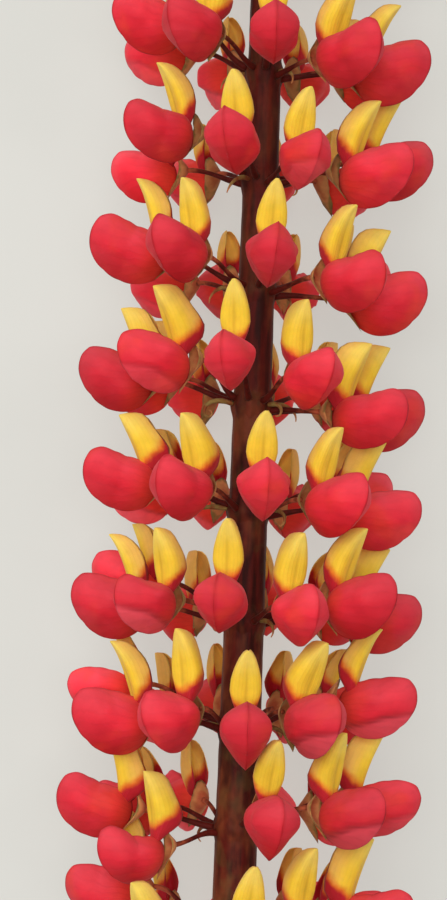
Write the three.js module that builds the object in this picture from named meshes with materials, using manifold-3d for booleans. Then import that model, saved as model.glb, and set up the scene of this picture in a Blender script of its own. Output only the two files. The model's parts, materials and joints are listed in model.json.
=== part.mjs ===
// A lupin flower spike, cut and lying on its side.
//
// Millimetres, +Z up. The spike lies along +Y with its tip at +Y, and rests on the florets of
// its underside. Every place on it is worked out in the spike's own terms first:
//   station  how far along the stem, 0 in the middle of the part that flowers fully
//   azimuth  which way round the stem, 0 is straight up (+Z), 90 is to +X
//   reach    how far out from the stem's axis
import * as THREE from 'three';
import { mergeVertices } from 'three/addons/utils/BufferGeometryUtils.js';
import Module from 'manifold-3d';

const wasm = await Module();
wasm.setup();

// ---------------------------------------------------------------- driving dimensions
const AXIS_HEIGHT = 29.0;         // the stem's axis above the surface the spike lies on
const AXIS_SHIFT_X = -0.3;        // sideways place of the axis, so that x = 0 is the middle
const STATION_AT_ORIGIN = 14.0;   // the station that lies at y = 0

const STEM = { cut: -155, join: 125, tip: 178, sides: 10 };
const STEM_RADII = [[-155, 4.35], [-90, 4.05], [0, 3.6], [85, 3.15], [125, 2.6], [155, 1.8], [178, 0.7]];
const GAP = 0.3;                  // clearance between pieces that touch on the real spike
const TIP_BOW = { from: 95, span: 88, shift: 4.5 }; // the young tip leans gently to +X

// the swollen stalk bases that ring the stem: how thick, half their height, the straight share of
// that height, and how far down the stem their clearance is taken
const COLLAR = { thickness: 0.9, halfHeight: 2.1, straight: 0.7, seatBelow: 8 };
const PEDICEL = {
  rootRadius: 0.65, neckRadius: 0.5, drop: 3.3, rootSpread: 0.4, rootLimit: 1.0, innerEnd: 4.2,
};
const CALYX = { middle: 0.9, middleRadius: 1.6, mouth: 1.95, mouthRadius: 1.9 };

// The two wing petals close into a pouch. Its side outline is eight radii, 45 degrees apart,
// from straight outward, round over the top.
const WINGS = { centreX: 10.6, centreZ: -1.9, halfWidth: 4.7, roundness: 0.8 };
const WING_RADII = [7.0, 6.75, 5.95, 5.3, 8.3, 6.7, 5.9, 6.1];

// The banner stands up behind the wings with its sides folded back.
const BANNER = {
  base: [5.2, -0.9], bend: [5.0, 7.0], tip: [9.6, 14.4],   // outward and upward
  fold: 1.6,                                               // how sharply the sides turn back
  open: { rows: [0, 0.36, 0.7, 1], halfWidths: [1.7, 3.6, 2.9, 0.5], depths: [1.2, 5.4, 4.4, 1.0] },
  under: { rows: [0, 0.48, 1], halfWidths: [1.7, 3.6, 0.7], depths: [1.2, 5.6, 1.2] },
};
// Florets that face up or sideways have finer faces than those of the underside.
const FACETS = { open: [8, 4], under: [6, 4], bud: [5, 4] };

// The surface presses the underside a little flat, below PRESS.height.
const PRESS = { height: 8, deepest: 10.62 };

// ---------------------------------------------------------------- where the florets sit
// Nine whorls in full flower, from the lowest up. Each floret: azimuth, rise above the
// station, pitch of the wings, size, reach of the calyx, outward lean of the banner.
// "open" florets face up or sideways; "under" ones are on the underside or behind.
const WHORLS = [
  { name: '01', station: -88,
    open: [[-97, 5, -2, 0.94, 15.5, -8], [-52, -6, 2, 0.96, 15, 5], [6, -2.5, 0, 0.96, 14.5, 0],
      [39, 0.5, 0, 0.96, 14.5, -2], [74, 2, 4, 1.0, 17, 2]],
    under: [[109, 0], [144, 1], [180, -1], [-137, 0]] },
  { name: '02', station: -68,
    open: [[-87, -0.5, 12, 0.93, 17.5, -5], [-62, -6.5, -2, 0.89, 13, -6], [16, 2, -7, 0.91, 14, 7],
      [54, 1.5, 2, 0.94, 16.5, -4], [87, 2.5, 2, 0.93, 18, 3]],
    under: [[124, 0], [163, -1], [-154, 1], [-118, 0]] },
  { name: '03', station: -49,
    open: [[-74, -1.5, 1, 1.0, 15, 5], [-38, 0, -4, 0.96, 12.5, -6], [2, -1.5, -1, 0.93, 14.5, 5],
      [35, 0, -2, 1.0, 13.5, 8], [77, 3, 0, 0.96, 16.5, 4]],
    under: [[-100, 4, -4, 0.86, 18.5, 0], [118, 1], [155, 0], [-168, 1], [-134, -1]] },
  { name: '04', station: -29,
    open: [[-85, -1, 6, 0.96, 16, 4], [-51, 0, 3, 0.89, 15, -2], [-11, 2, -5, 0.92, 14.5, 2],
      [25, -0.5, 0, 0.93, 14.5, 0], [56, 1, 4, 0.98, 16, 4], [94, -1, -1, 0.95, 17, 8]],
    under: [[-110, 3.5, 9, 0.95, 15, 4], [129, 0], [170, 1], [-149, -1]] },
  { name: '05', station: -8,
    open: [[-81, 1.5, 9, 0.94, 15, 8], [-36, 0, 6, 0.96, 12, 3], [6, 1, 0, 0.93, 14.5, 4],
      [44, -1.5, 3, 0.96, 14, 3], [86, -2.5, -1, 0.96, 15.8, 5]],
    under: [[117, 1], [158, -1], [-161, 0], [-121, 1]] },
  { name: '06', station: 12,
    open: [[-88, 1, 7, 0.95, 16.5, 2], [-61, 4.5, 2, 1.0, 11.5, 8], [-12, 5, -4, 0.9, 14.5, 0],
      [29, 1.5, 2, 0.91, 13.5, -4], [69, -4.5, 3, 0.95, 14, 5], [96, -4, 4, 0.98, 16, 6]],
    under: [[134, 0], [171, 1], [-151, 0], [-115, 2]] },
  { name: '07', station: 34,
    open: [[-84, 2.5, 14, 1.0, 14.5, -2], [-40, 1.5, 9, 0.93, 14.5, -2], [6, 1.5, 2, 0.92, 14.5, 0],
      [49, -1.5, 2, 0.95, 14, 4], [84, -4.5, 6, 0.97, 15.5, 4]],
    under: [[123, 1], [161, 0], [-163, 0], [-129, -1]] },
  { name: '08', station: 55,
    open: [[-63, 4.5, 6, 0.94, 12.5, 6], [-14, 1, 4, 0.93, 14.5, 5], [20, -1.5, 2, 0.92, 14.5, 4],
      [65, -2, 4, 0.98, 14, 5], [95, 1, 5, 0.95, 16.5, 6]],
    under: [[-102, -1, 1, 0.85, 14.5, 0], [132, -1], [174, 1], [-145, 0]] },
  { name: '09', station: 76,
    open: [[-79, 5, 8, 0.94, 13.5, 0], [-37, 1.5, 6, 0.95, 14, 0], [3, 1.5, -2, 0.9, 14.5, 0],
      [44, -2, 8, 1.0, 12.5, 8], [79, -3, 8, 1.0, 14.5, 7]],
    under: [[120, -1], [160, 0], [-160, 1], [-119, 2]] },
];
const UNDER_DEFAULT = { pitch: 3, pitchSpread: 2, size: 0.95, reach: 14.8, lean: 4 };

// Younger whorls above them: evenly spaced, smaller, steeper and less open toward the tip.
const YOUNG_WHORLS = [
  { name: '10', station: 98, count: 9, turn: 20, pitch: 7, size: 0.94, reach: 13.6, lean: 6 },
  { name: '11', station: 115.5, count: 9, turn: 31, pitch: 16, size: 0.83, reach: 11.6, lean: 12 },
];
const YOUNG_SPREAD = { rise: 0.8, azimuth: 3, pitch: 2.5, size: 0.03 }; // how much its florets differ
// At the tip they are closed buds: length and thickness of a bud, and how far out it starts.
const TIP_WHORLS = [
  { station: 131, count: 8, turn: 10, pitch: 32, length: 13.5, thick: 6.2, reach: 8.2 },
  { station: 142, count: 8, turn: 33, pitch: 44, length: 11, thick: 5.2, reach: 6.2 },
  { station: 151.5, count: 7, turn: 8, pitch: 54, length: 9.2, thick: 4.5, reach: 4.8 },
  { station: 159.5, count: 6, turn: 34, pitch: 62, length: 8, thick: 3.9, reach: 3.7 },
  { station: 166.5, count: 6, turn: 5, pitch: 69, length: 6.8, thick: 3.3, reach: 2.8 },
  { station: 172.5, count: 5, turn: 36, pitch: 75, length: 6, thick: 2.8, reach: 1.9 },
  { station: 177.5, count: 3, turn: 10, pitch: 82, length: 5.4, thick: 2.4, reach: 1.0 },
];

// A bud's width and depth as shares of its thickness, its foot's share of its length before the
// stalk's end, how far down the stem its stalk starts, the stalk's radius at each end, and how
// many degrees the buds of a ring differ.
const BUD = {
  width: 0.42, depth: 0.5, foot: 0.8, rootBelow: 0.25, rootRadius: 0.5, neck: 0.16,
  azimuthSpread: 4, pitchSpread: 3,
};

// ---------------------------------------------------------------- materials
const paint = (color, roughness) => (
  new THREE.MeshStandardMaterial({ color, roughness, metalness: 0 }));
const stemPaint = paint(0x6b2a24, 0.55);
const petalPaint = paint(0xd03346, 0.5);
const whorlPaint = paint(0xa84a38, 0.6);
const tipPaint = paint(0xb5614a, 0.6);

// ---------------------------------------------------------------- small helpers
const radians = THREE.MathUtils.degToRad;

// straight-line reading of a list of [position, value] pairs
function readOff(pairs, position) {
  for (let i = 1; i < pairs.length; i++) {
    const [p0, v0] = pairs[i - 1];
    const [p1, v1] = pairs[i];
    if (position <= p1) {
      return THREE.MathUtils.mapLinear(Math.max(position, p0), p0, p1, v0, v1);
    }
  }
  return pairs[pairs.length - 1][1];
}

const stemRadius = (station) => readOff(STEM_RADII, station);

// small even spread of differences, so that no two florets are quite alike
const wobble = (a, b) => Math.sin(a * 2.7 + b * 1.9);

// spike terms (x across, y station, z up from the axis) to the resting place
function settle(point) {
  const along = Math.max(0, (point.y - TIP_BOW.from) / TIP_BOW.span);
  const x = point.x + TIP_BOW.shift * along * along + AXIS_SHIFT_X;
  let z = point.z + AXIS_HEIGHT;
  if (z < PRESS.height) {
    const under = PRESS.height - z;
    const squash = (PRESS.deepest - PRESS.height) / PRESS.deepest ** 2;
    z = PRESS.height - under + squash * under * under;
  }
  return point.set(x, point.y - STATION_AT_ORIGIN, z);
}

// moves every vertex of a geometry by a rule, in place
function reshape(geometry, rule) {
  const position = geometry.attributes.position;
  const point = new THREE.Vector3();
  for (let i = 0; i < position.count; i++) {
    rule(point.fromBufferAttribute(position, i));
    position.setXYZ(i, point.x, point.y, point.z);
  }
  return geometry;
}

function toSolid(geometry) {
  const bare = geometry.clone();
  bare.deleteAttribute('normal');
  bare.deleteAttribute('uv');
  const merged = mergeVertices(bare, 1e-3);
  return new wasm.Manifold(new wasm.Mesh({
    numProp: 3,
    vertProperties: new Float32Array(merged.attributes.position.array),
    triVerts: new Uint32Array(merged.index.array),
  }));
}

function toGeometry(solid) {
  const mesh = solid.getMesh();
  const geometry = new THREE.BufferGeometry();
  geometry.setAttribute('position', new THREE.BufferAttribute(new Float32Array(mesh.vertProperties), 3));
  geometry.setIndex(new THREE.BufferAttribute(new Uint32Array(mesh.triVerts), 1));
  geometry.computeVertexNormals();
  return geometry;
}

const joinAll = (geometries) => toGeometry(geometries.map(toSolid).reduce((all, next) => all.add(next)));

// ---------------------------------------------------------------- one floret
// A floret's own axes: x outward along it, y to its side, z toward the spike's tip.
function floretFrame(floret, tilt) {
  const azimuth = radians(floret.azimuth);
  const outward = new THREE.Vector3(Math.sin(azimuth), 0, Math.cos(azimuth));
  const upward = new THREE.Vector3(0, 1, 0);
  const calyx = outward.clone().multiplyScalar(floret.reach).addScaledVector(upward, floret.station);
  const forward = outward.clone().multiplyScalar(Math.cos(tilt)).addScaledVector(upward, Math.sin(tilt));
  const lift = upward.clone().multiplyScalar(Math.cos(tilt)).addScaledVector(outward, -Math.sin(tilt));
  const side = lift.clone().cross(forward);
  const frame = new THREE.Matrix4().makeBasis(forward, side, lift);
  return frame.scale(new THREE.Vector3(floret.size, floret.size, floret.size)).setPosition(calyx);
}

function wingRadius(angle) {
  const step = Math.PI / 4;
  const turn = ((angle / step) % 8 + 8) % 8;
  const low = Math.floor(turn);
  return THREE.MathUtils.lerp(WING_RADII[low % 8], WING_RADII[(low + 1) % 8], turn - low);
}

// the closed pouch of the two wings: a flattened ball with a sharp rim down its middle
function wings(floret) {
  const frame = floretFrame(floret, radians(floret.pitch));
  return reshape(new THREE.SphereGeometry(1, ...FACETS[floret.kind]), (p) => {
    const out = Math.hypot(p.x, p.z);
    const radius = wingRadius(Math.atan2(p.z, p.x));
    const reach = out > 1e-6 ? radius : 0;
    const across = Math.sign(p.y) * Math.abs(p.y) ** WINGS.roundness * WINGS.halfWidth;
    p.set(WINGS.centreX + reach * p.x, across, WINGS.centreZ + reach * p.z);
    settle(p.applyMatrix4(frame));
  });
}

// The banner: a folded blade along a curve, with one crest in front and two edges behind. Its
// section starts as a pentagon with a corner in front, which is BLADE_SPAN deep.
const BLADE_TURN = radians(54);
const BLADE_SPAN = 1 + Math.sin(BLADE_TURN);
function banner(floret) {
  const frame = floretFrame(floret, -radians(floret.lean));
  const spine = new THREE.QuadraticBezierCurve(
    new THREE.Vector2(...BANNER.base), new THREE.Vector2(...BANNER.bend), new THREE.Vector2(...BANNER.tip));
  const { rows, halfWidths, depths } = BANNER[floret.kind];
  const lastRow = rows.length - 1;
  const blade = new THREE.CylinderGeometry(1, 1, 1, 5, lastRow, false, BLADE_TURN);
  return reshape(blade, (p) => {
    const row = Math.round((p.y + 0.5) * lastRow);
    const at = rows[row];
    const centre = spine.getPoint(at);
    const run = spine.getTangent(at);
    const behind = depths[row] * ((p.x + 1) / BLADE_SPAN) ** BANNER.fold;
    const across = halfWidths[row] * p.z;
    p.set(centre.x - run.y * behind, across, centre.y + run.x * behind);
    settle(p.applyMatrix4(frame));
  });
}

// where a floret's stalk leaves the collar round the stem
function stalkRoot(floret) {
  const azimuth = radians(floret.azimuth);
  const limit = PEDICEL.rootLimit;
  const drift = THREE.MathUtils.clamp(floret.rise * PEDICEL.rootSpread, -limit, limit);
  const station = floret.whorlStation - PEDICEL.drop + drift;
  const reach = stemRadius(station) + GAP + COLLAR.thickness * 0.5;
  return new THREE.Vector3(Math.sin(azimuth) * reach, station, Math.cos(azimuth) * reach);
}

// A four-sided stalk that starts at the collar and then follows the floret's own axis through
// the given stops, each with its radius. The last stop is the cup of the calyx, where it has one.
function stalk(floret, stops) {
  const azimuth = radians(floret.azimuth);
  const frame = floretFrame(floret, radians(floret.pitch));
  const root = stalkRoot(floret);
  const side = new THREE.Vector3(Math.cos(azimuth), 0, -Math.sin(azimuth));
  return reshape(new THREE.CylinderGeometry(1, 1, 1, 4, stops.length), (p) => {
    const row = Math.round((p.y + 0.5) * stops.length);
    if (row === 0) {
      const across = side.clone().multiplyScalar(p.z * PEDICEL.rootRadius);
      p.set(0, p.x * PEDICEL.rootRadius, 0).add(root).add(across);
    } else {
      const [stop, radius] = stops[row - 1];
      p.set(stop, p.z * radius, p.x * radius).applyMatrix4(frame);
    }
    settle(p);
  });
}

const calyxStops = [
  [-0.3, PEDICEL.neckRadius], [CALYX.middle, CALYX.middleRadius], [CALYX.mouth, CALYX.mouthRadius]];
const plainStops = [[PEDICEL.innerEnd, PEDICEL.neckRadius]];

// the band of swollen stalk bases that rings the stem under each whorl
function collar(whorlStation) {
  const inner = stemRadius(whorlStation - COLLAR.seatBelow) + GAP;
  const outer = inner + COLLAR.thickness;
  const middle = whorlStation - PEDICEL.drop;
  const half = COLLAR.halfHeight;
  const straight = COLLAR.straight * half;
  const outline = [
    [inner, -half], [outer, -straight], [outer, straight], [inner, half], [inner, -half],
  ].map(([radius, along]) => new THREE.Vector2(radius, middle + along));
  return reshape(new THREE.LatheGeometry(outline, STEM.sides), settle);
}

// a closed bud at the tip, on a short stalk that grows out of the stem
function bud(whorl, index) {
  const place = whorl.turn + (360 / whorl.count) * index;
  const azimuth = radians(place + BUD.azimuthSpread * wobble(whorl.station, index));
  const pitch = radians(whorl.pitch + BUD.pitchSpread * wobble(index + 3, whorl.station));
  const outward = new THREE.Vector3(Math.sin(azimuth), 0, Math.cos(azimuth));
  const upward = new THREE.Vector3(0, 1, 0);
  const along = outward.clone().multiplyScalar(Math.cos(pitch)).addScaledVector(upward, Math.sin(pitch));
  const across = upward.clone().cross(outward).normalize();
  const lift = along.clone().cross(across);
  const foot = outward.clone().multiplyScalar(whorl.reach).addScaledVector(upward, whorl.station);
  const root = upward.clone().multiplyScalar(whorl.station - BUD.rootBelow * whorl.length);
  const body = reshape(new THREE.SphereGeometry(1, ...FACETS.bud), (p) => {
    const out = foot.clone().addScaledVector(along, (p.y + BUD.foot) * whorl.length / 2);
    out.addScaledVector(across, p.z * whorl.thick * BUD.width);
    out.addScaledVector(lift, p.x * whorl.thick * BUD.depth);
    settle(p.copy(out));
  });
  const stem = reshape(new THREE.CylinderGeometry(1, 1, 1, 4, 1), (p) => {
    const end = p.y > 0 ? foot : root;
    const radius = p.y > 0 ? BUD.neck * whorl.thick : BUD.rootRadius;
    const out = end.clone().addScaledVector(across, p.z * radius).addScaledVector(lift, p.x * radius);
    settle(p.copy(out));
  });
  return [body, stem];
}

// ---------------------------------------------------------------- florets of each whorl
function openFlorets(whorl) {
  return whorl.open.map(([azimuth, rise, pitch, size, reach, lean]) => ({
    azimuth, rise, pitch, size, reach, lean, kind: 'open',
    station: whorl.station + rise, whorlStation: whorl.station,
  }));
}

function underFlorets(whorl) {
  const standard = UNDER_DEFAULT;
  return whorl.under.map(([azimuth, rise, pitch, size, reach, lean], index) => ({
    azimuth,
    rise,
    pitch: pitch ?? standard.pitch + standard.pitchSpread * wobble(index, whorl.station),
    size: size ?? standard.size,
    reach: reach ?? standard.reach,
    lean: lean ?? standard.lean,
    kind: 'under',
    station: whorl.station + rise,
    whorlStation: whorl.station,
  }));
}

function evenFlorets(whorl) {
  return Array.from({ length: whorl.count }, (_, index) => {
    const spread = YOUNG_SPREAD;
    const place = whorl.turn + (360 / whorl.count) * index;
    const rise = spread.rise * whorl.size * wobble(index, whorl.station);
    return {
      azimuth: place + spread.azimuth * wobble(whorl.station, index),
      rise,
      pitch: whorl.pitch + spread.pitch * wobble(index + 3, whorl.station),
      size: whorl.size * (1 + spread.size * wobble(index + 5, whorl.station)),
      reach: whorl.reach,
      lean: whorl.lean,
      kind: 'under',
      station: whorl.station + rise,
      whorlStation: whorl.station,
    };
  });
}

// ---------------------------------------------------------------- the spike
const spike = new THREE.Group();

function addPiece(name, geometry, material) {
  const mesh = new THREE.Mesh(geometry, material);
  mesh.name = name;
  spike.add(mesh);
}

// the stem's own outline, closed on its axis at both ends
function stemLength(from, to) {
  const breaks = STEM_RADII.map(([station]) => station).filter((s) => s > from && s < to);
  const stations = [from, ...breaks, to];
  const outline = [
    new THREE.Vector2(0, from),
    ...stations.map((s) => new THREE.Vector2(stemRadius(s), s)),
    new THREE.Vector2(0, to),
  ];
  return reshape(new THREE.LatheGeometry(outline, STEM.sides), settle);
}

addPiece('stem', stemLength(STEM.cut, STEM.join), stemPaint);

for (const whorl of WHORLS) {
  const open = openFlorets(whorl);
  const under = underFlorets(whorl);
  open.forEach((floret, index) => {
    const corolla = joinAll([wings(floret), banner(floret)]);
    addPiece(`corolla_${whorl.name}_${index + 1}`, corolla, petalPaint);
  });
  addPiece(`whorl_${whorl.name}`, joinAll([
    collar(whorl.station),
    ...open.map((floret) => stalk(floret, calyxStops)),
    ...under.flatMap((floret) => [stalk(floret, plainStops), wings(floret), banner(floret)]),
  ]), whorlPaint);
}

for (const whorl of YOUNG_WHORLS) {
  const florets = evenFlorets(whorl);
  addPiece(`whorl_${whorl.name}`, joinAll([
    collar(whorl.station),
    ...florets.flatMap((floret) => [stalk(floret, plainStops), wings(floret), banner(floret)]),
  ]), whorlPaint);
}

// the growing tip: the last of the stem with its buds, grown as one piece
addPiece('tip', joinAll([
  stemLength(STEM.join + GAP, STEM.tip),
  ...TIP_WHORLS.flatMap((whorl) => (
    Array.from({ length: whorl.count }, (_, index) => bud(whorl, index)).flat())),
]), tipPaint);

export default spike;
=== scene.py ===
# %% [markdown]
# # A lupin flower spike
#
# This is one cut spike of a garden lupin, red and yellow, lying on its side with its tip toward
# +Y. A dark stem carries rings of pea-like florets. Each floret stands on a thin stalk, sits in a
# small downy cup (the calyx), and has two red wing petals closed into a pouch, with a yellow
# banner petal standing up behind them.
#
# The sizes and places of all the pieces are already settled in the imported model. This script
# makes what they look like, around that model and in its frame.

# %% Start with the settled model
import json
import math
from dataclasses import dataclass, field

import bpy
import numpy as np
from mathutils import Matrix, Vector

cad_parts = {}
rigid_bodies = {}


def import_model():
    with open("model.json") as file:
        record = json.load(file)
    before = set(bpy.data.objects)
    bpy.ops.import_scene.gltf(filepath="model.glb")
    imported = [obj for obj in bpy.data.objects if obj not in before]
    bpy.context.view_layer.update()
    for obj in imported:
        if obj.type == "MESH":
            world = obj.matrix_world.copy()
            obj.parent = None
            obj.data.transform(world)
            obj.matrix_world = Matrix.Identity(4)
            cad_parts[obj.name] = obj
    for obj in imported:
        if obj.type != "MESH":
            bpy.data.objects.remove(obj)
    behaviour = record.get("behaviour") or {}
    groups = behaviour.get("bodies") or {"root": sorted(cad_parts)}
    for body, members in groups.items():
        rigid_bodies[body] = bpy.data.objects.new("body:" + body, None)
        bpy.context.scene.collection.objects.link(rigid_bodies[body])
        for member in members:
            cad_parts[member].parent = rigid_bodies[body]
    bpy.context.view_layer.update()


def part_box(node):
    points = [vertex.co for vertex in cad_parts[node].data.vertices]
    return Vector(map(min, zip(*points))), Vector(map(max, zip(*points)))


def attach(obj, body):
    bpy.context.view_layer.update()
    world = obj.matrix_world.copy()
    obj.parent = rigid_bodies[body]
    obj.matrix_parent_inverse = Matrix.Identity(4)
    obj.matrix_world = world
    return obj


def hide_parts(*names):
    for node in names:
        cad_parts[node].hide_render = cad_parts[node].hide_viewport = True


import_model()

# %% [markdown]
# ## Where everything grows
#
# A lupin spike is easiest to describe the way it grows: how far along the stem (the station),
# which way round it (the azimuth, 0 straight up and 90 toward +X), and how far out from the
# stem's middle (the reach). The tables below repeat the settled layout, in millimetres and
# degrees. One rule, `settle`, then lays the whole spike down: it leans the young tip a little,
# lifts the stem to its height, and presses the underside gently flat against the surface.
# Working in the spike's own terms first means that no floret has to be placed by eye in 3-D.

# %% The stem and the resting place
MM = 0.001                        # one millimetre in metres
AXIS_HEIGHT = 29.0                # how high the stem's middle lies over the surface
AXIS_SHIFT = -0.3                 # brings the middle of the spike's width over the origin
STATION_AT_ORIGIN = 14.0
TIP_BOW = {"start": 95, "span": 88, "shift": 4.5}     # the young tip leans to one side
PRESS = {"height": 8, "deepest": 10.62}               # petals give from this height down to this depth
STEM_ENDS = {"cut": -155, "join": 125, "tip": 178}
STEM_RADII = ((-155, 4.35), (-90, 4.05), (0, 3.6), (85, 3.15), (125, 2.6), (155, 1.8), (178, 0.7))


def stem_radius(station):
    return np.interp(station, *np.array(STEM_RADII).T)


def settle(points):
    """Spike terms (x across, y the station, z up from the axis) to where the spike lies."""
    x, y, z = np.array(points, float).reshape(-1, 3).T
    young = np.maximum(0, (y - TIP_BOW["start"]) / TIP_BOW["span"])
    z = z + AXIS_HEIGHT
    under = np.maximum(0, PRESS["height"] - z)
    give = (PRESS["deepest"] - PRESS["height"]) / PRESS["deepest"] ** 2
    z = np.where(under > 0, PRESS["height"] - under + give * under**2, z)
    x = x + TIP_BOW["shift"] * young**2 + AXIS_SHIFT
    return np.column_stack((x, y - STATION_AT_ORIGIN, np.maximum(z, 0)))


print("the stem's cut end lies at y =", settle([(0, STEM_ENDS["cut"], 0)])[0, 1], "mm")

# %% The whorls in full flower
# Each floret: azimuth, rise above its whorl's station, pitch of the wings, size, reach of the
# calyx, outward lean of the banner. "open" florets face up or sideways, "under" ones down or back.
# "wings" and "banners" choose the shape of each open floret's petals from the shelves made below.
# An "under" floret has its azimuth and rise, and its own pitch, size, reach and lean only where
# they aren't the ones in UNDER.
WHORLS = {
    "01": {"station": -88, "open": (
        (-97, 5, -2, 0.94, 15.5, -8), (-52, -6, 2, 0.96, 15, 5), (6, -2.5, 0, 0.96, 14.5, 0),
        (39, 0.5, 0, 0.96, 14.5, -2), (74, 2, 4, 1.0, 17, 2)),
        "under": ((109, 0), (144, 1), (180, -1), (-137, 0)),
        "wings": (0, 1, 6, 0, 1), "banners": (1, 2, 0, 0, 3)},
    "02": {"station": -68, "open": (
        (-87, -0.5, 12, 0.93, 17.5, -5), (-62, -6.5, -2, 0.89, 13, -6), (16, 2, -7, 0.91, 14, 7),
        (54, 1.5, 2, 0.94, 16.5, -4), (87, 2.5, 2, 0.93, 18, 3)),
        "under": ((124, 0), (163, -1), (-154, 1), (-118, 0)),
        "wings": (1, 7, 5, 3, 2), "banners": (3, 3, 0, 2, 3)},
    "03": {"station": -49, "open": (
        (-74, -1.5, 1, 1.0, 15, 5), (-38, 0, -4, 0.96, 12.5, -6), (2, -1.5, -1, 0.93, 14.5, 5),
        (35, 0, -2, 1.0, 13.5, 8), (77, 3, 0, 0.96, 16.5, 4)),
        "under": ((-100, 4, -4, 0.86, 18.5, 0), (118, 1), (155, 0), (-168, 1), (-134, -1)),
        "wings": (0, 6, 5, 3, 3), "banners": (1, 0, 0, 2, 1)},
    "04": {"station": -29, "open": (
        (-85, -1, 6, 0.96, 16, 4), (-51, 0, 3, 0.89, 15, -2), (-11, 2, -5, 0.92, 14.5, 2),
        (25, -0.5, 0, 0.93, 14.5, 0), (56, 1, 4, 0.98, 16, 4), (94, -1, -1, 0.95, 17, 8)),
        "under": ((-110, 3.5, 9, 0.95, 15, 4), (129, 0), (170, 1), (-149, -1)),
        "wings": (6, 4, 0, 6, 0, 6), "banners": (1, 2, 0, 3, 0, 3)},
    "05": {"station": -8, "open": (
        (-81, 1.5, 9, 0.94, 15, 8), (-36, 0, 6, 0.96, 12, 3), (6, 1, 0, 0.93, 14.5, 4),
        (44, -1.5, 3, 0.96, 14, 3), (86, -2.5, -1, 0.96, 15.8, 5)),
        "under": ((117, 1), (158, -1), (-161, 0), (-121, 1)),
        "wings": (1, 1, 6, 0, 6), "banners": (3, 3, 0, 1, 3)},
    "06": {"station": 12, "open": (
        (-88, 1, 7, 0.95, 16.5, 2), (-61, 4.5, 2, 1.0, 11.5, 8), (-12, 5, -4, 0.9, 14.5, 0),
        (29, 1.5, 2, 0.91, 13.5, -4), (69, -4.5, 3, 0.95, 14, 5), (96, -4, 4, 0.98, 16, 6)),
        "under": ((134, 0), (171, 1), (-151, 0), (-115, 2)),
        "wings": (0, 2, 6, 0, 1, 6), "banners": (3, 3, 0, 3, 3, 3)},
    "07": {"station": 34, "open": (
        (-84, 2.5, 14, 1.0, 14.5, -2), (-40, 1.5, 9, 0.93, 14.5, -2), (6, 1.5, 2, 0.92, 14.5, 0),
        (49, -1.5, 2, 0.95, 14, 4), (84, -4.5, 6, 0.97, 15.5, 4)),
        "under": ((123, 1), (161, 0), (-163, 0), (-129, -1)),
        "wings": (1, 0, 6, 1, 0), "banners": (1, 0, 0, 1, 3)},
    "08": {"station": 55, "open": (
        (-63, 4.5, 6, 0.94, 12.5, 6), (-14, 1, 4, 0.93, 14.5, 5), (20, -1.5, 2, 0.92, 14.5, 4),
        (65, -2, 4, 0.98, 14, 5), (95, 1, 5, 0.95, 16.5, 6)),
        "under": ((-102, -1, 1, 0.85, 14.5, 0), (132, -1), (174, 1), (-145, 0)),
        "wings": (1, 0, 2, 6, 0), "banners": (1, 2, 0, 0, 3)},
    "09": {"station": 76, "open": (
        (-79, 5, 8, 0.94, 13.5, 0), (-37, 1.5, 6, 0.95, 14, 0), (3, 1.5, -2, 0.9, 14.5, 0),
        (44, -2, 8, 1.0, 12.5, 8), (79, -3, 8, 1.0, 14.5, 7)),
        "under": ((120, -1), (160, 0), (-160, 1), (-119, 2)),
        "wings": (0, 6, 0, 1, 6), "banners": (0, 3, 0, 0, 1)},
}
# The under florets draw their tint from a higher range, which lightens their petals as painted
# light, and "banner" is how big an under floret's banner is beside it.
UNDER = {"pitch": 3, "pitch_spread": 2, "size": 0.95, "reach": 14.8, "lean": 4, "banner": 0.85,
         "tone_and_painted_light": (0.5, 3.5)}
print(len(WHORLS), "whorls in full flower")

# %% The younger whorls, the closed tip and the bracts
YOUNG_WHORLS = {
    "10": {"station": 98, "count": 9, "turn": 20, "pitch": 7, "size": 0.94, "reach": 13.6,
           "lean": 6, "age": 0.25},
    "11": {"station": 115.5, "count": 9, "turn": 31, "pitch": 16, "size": 0.83, "reach": 11.6,
           "lean": 12, "age": 0.5},
}
YOUNG_SPREAD = {"rise": 0.8, "azimuth": 3, "pitch": 2.5, "size": 0.03}
BUD_RINGS = (                     # station, count, turn, pitch, length, thickness, reach
    (131, 8, 10, 32, 13.5, 6.2, 8.2), (142, 8, 33, 44, 11, 5.2, 6.2),
    (151.5, 7, 8, 54, 9.2, 4.5, 4.8), (159.5, 6, 34, 62, 8, 3.9, 3.7),
    (166.5, 6, 5, 69, 6.8, 3.3, 2.8), (172.5, 5, 36, 75, 6, 2.8, 1.9),
    (177.5, 3, 10, 82, 5.4, 2.4, 1.0))
# Thin dry bracts that are left at the stalks' feet: azimuth, length, droop and curl in degrees.
BRACTS = {
    "01": ((60, 6, 60, 40),), "02": ((35, 5.5, 30, 60), (-120, 7, 60, 90)),
    "03": ((-75, 10, 35, 25), (100, 7, 70, 30)), "04": ((-125, 6, 50, 200), (48, 6, 75, 60)),
    "05": ((-78, 9.5, 40, 25), (62, 7, 60, 120), (150, 7, 40, 60)),
    "06": ((-66, 11, 20, 330), (52, 6, 50, 160), (75, 7, 65, 40)),
    "07": ((-62, 8, 50, 60), (120, 6, 60, 90)), "08": ((-38, 7.5, 75, 20), (82, 6, 60, 120)),
    "09": ((50, 6, 60, 70), (-110, 7, 50, 40)),
}
print(len(YOUNG_WHORLS), "younger whorls,", len(BUD_RINGS), "rings of buds,",
      sum(map(len, BRACTS.values())), "bracts")

# %% [markdown]
# ## From tables to florets
#
# A row of numbers is easy to mix up, so each floret becomes a small record whose numbers have
# names. The younger whorls are even rings, but no two florets of a plant are quite alike. A slow
# sine gives each its own small difference, and gives the same one each time the script runs.

# %% What a floret is
WOBBLE_TURNS = (2.7, 1.9)         # how fast the sine turns with each of the two numbers


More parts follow.
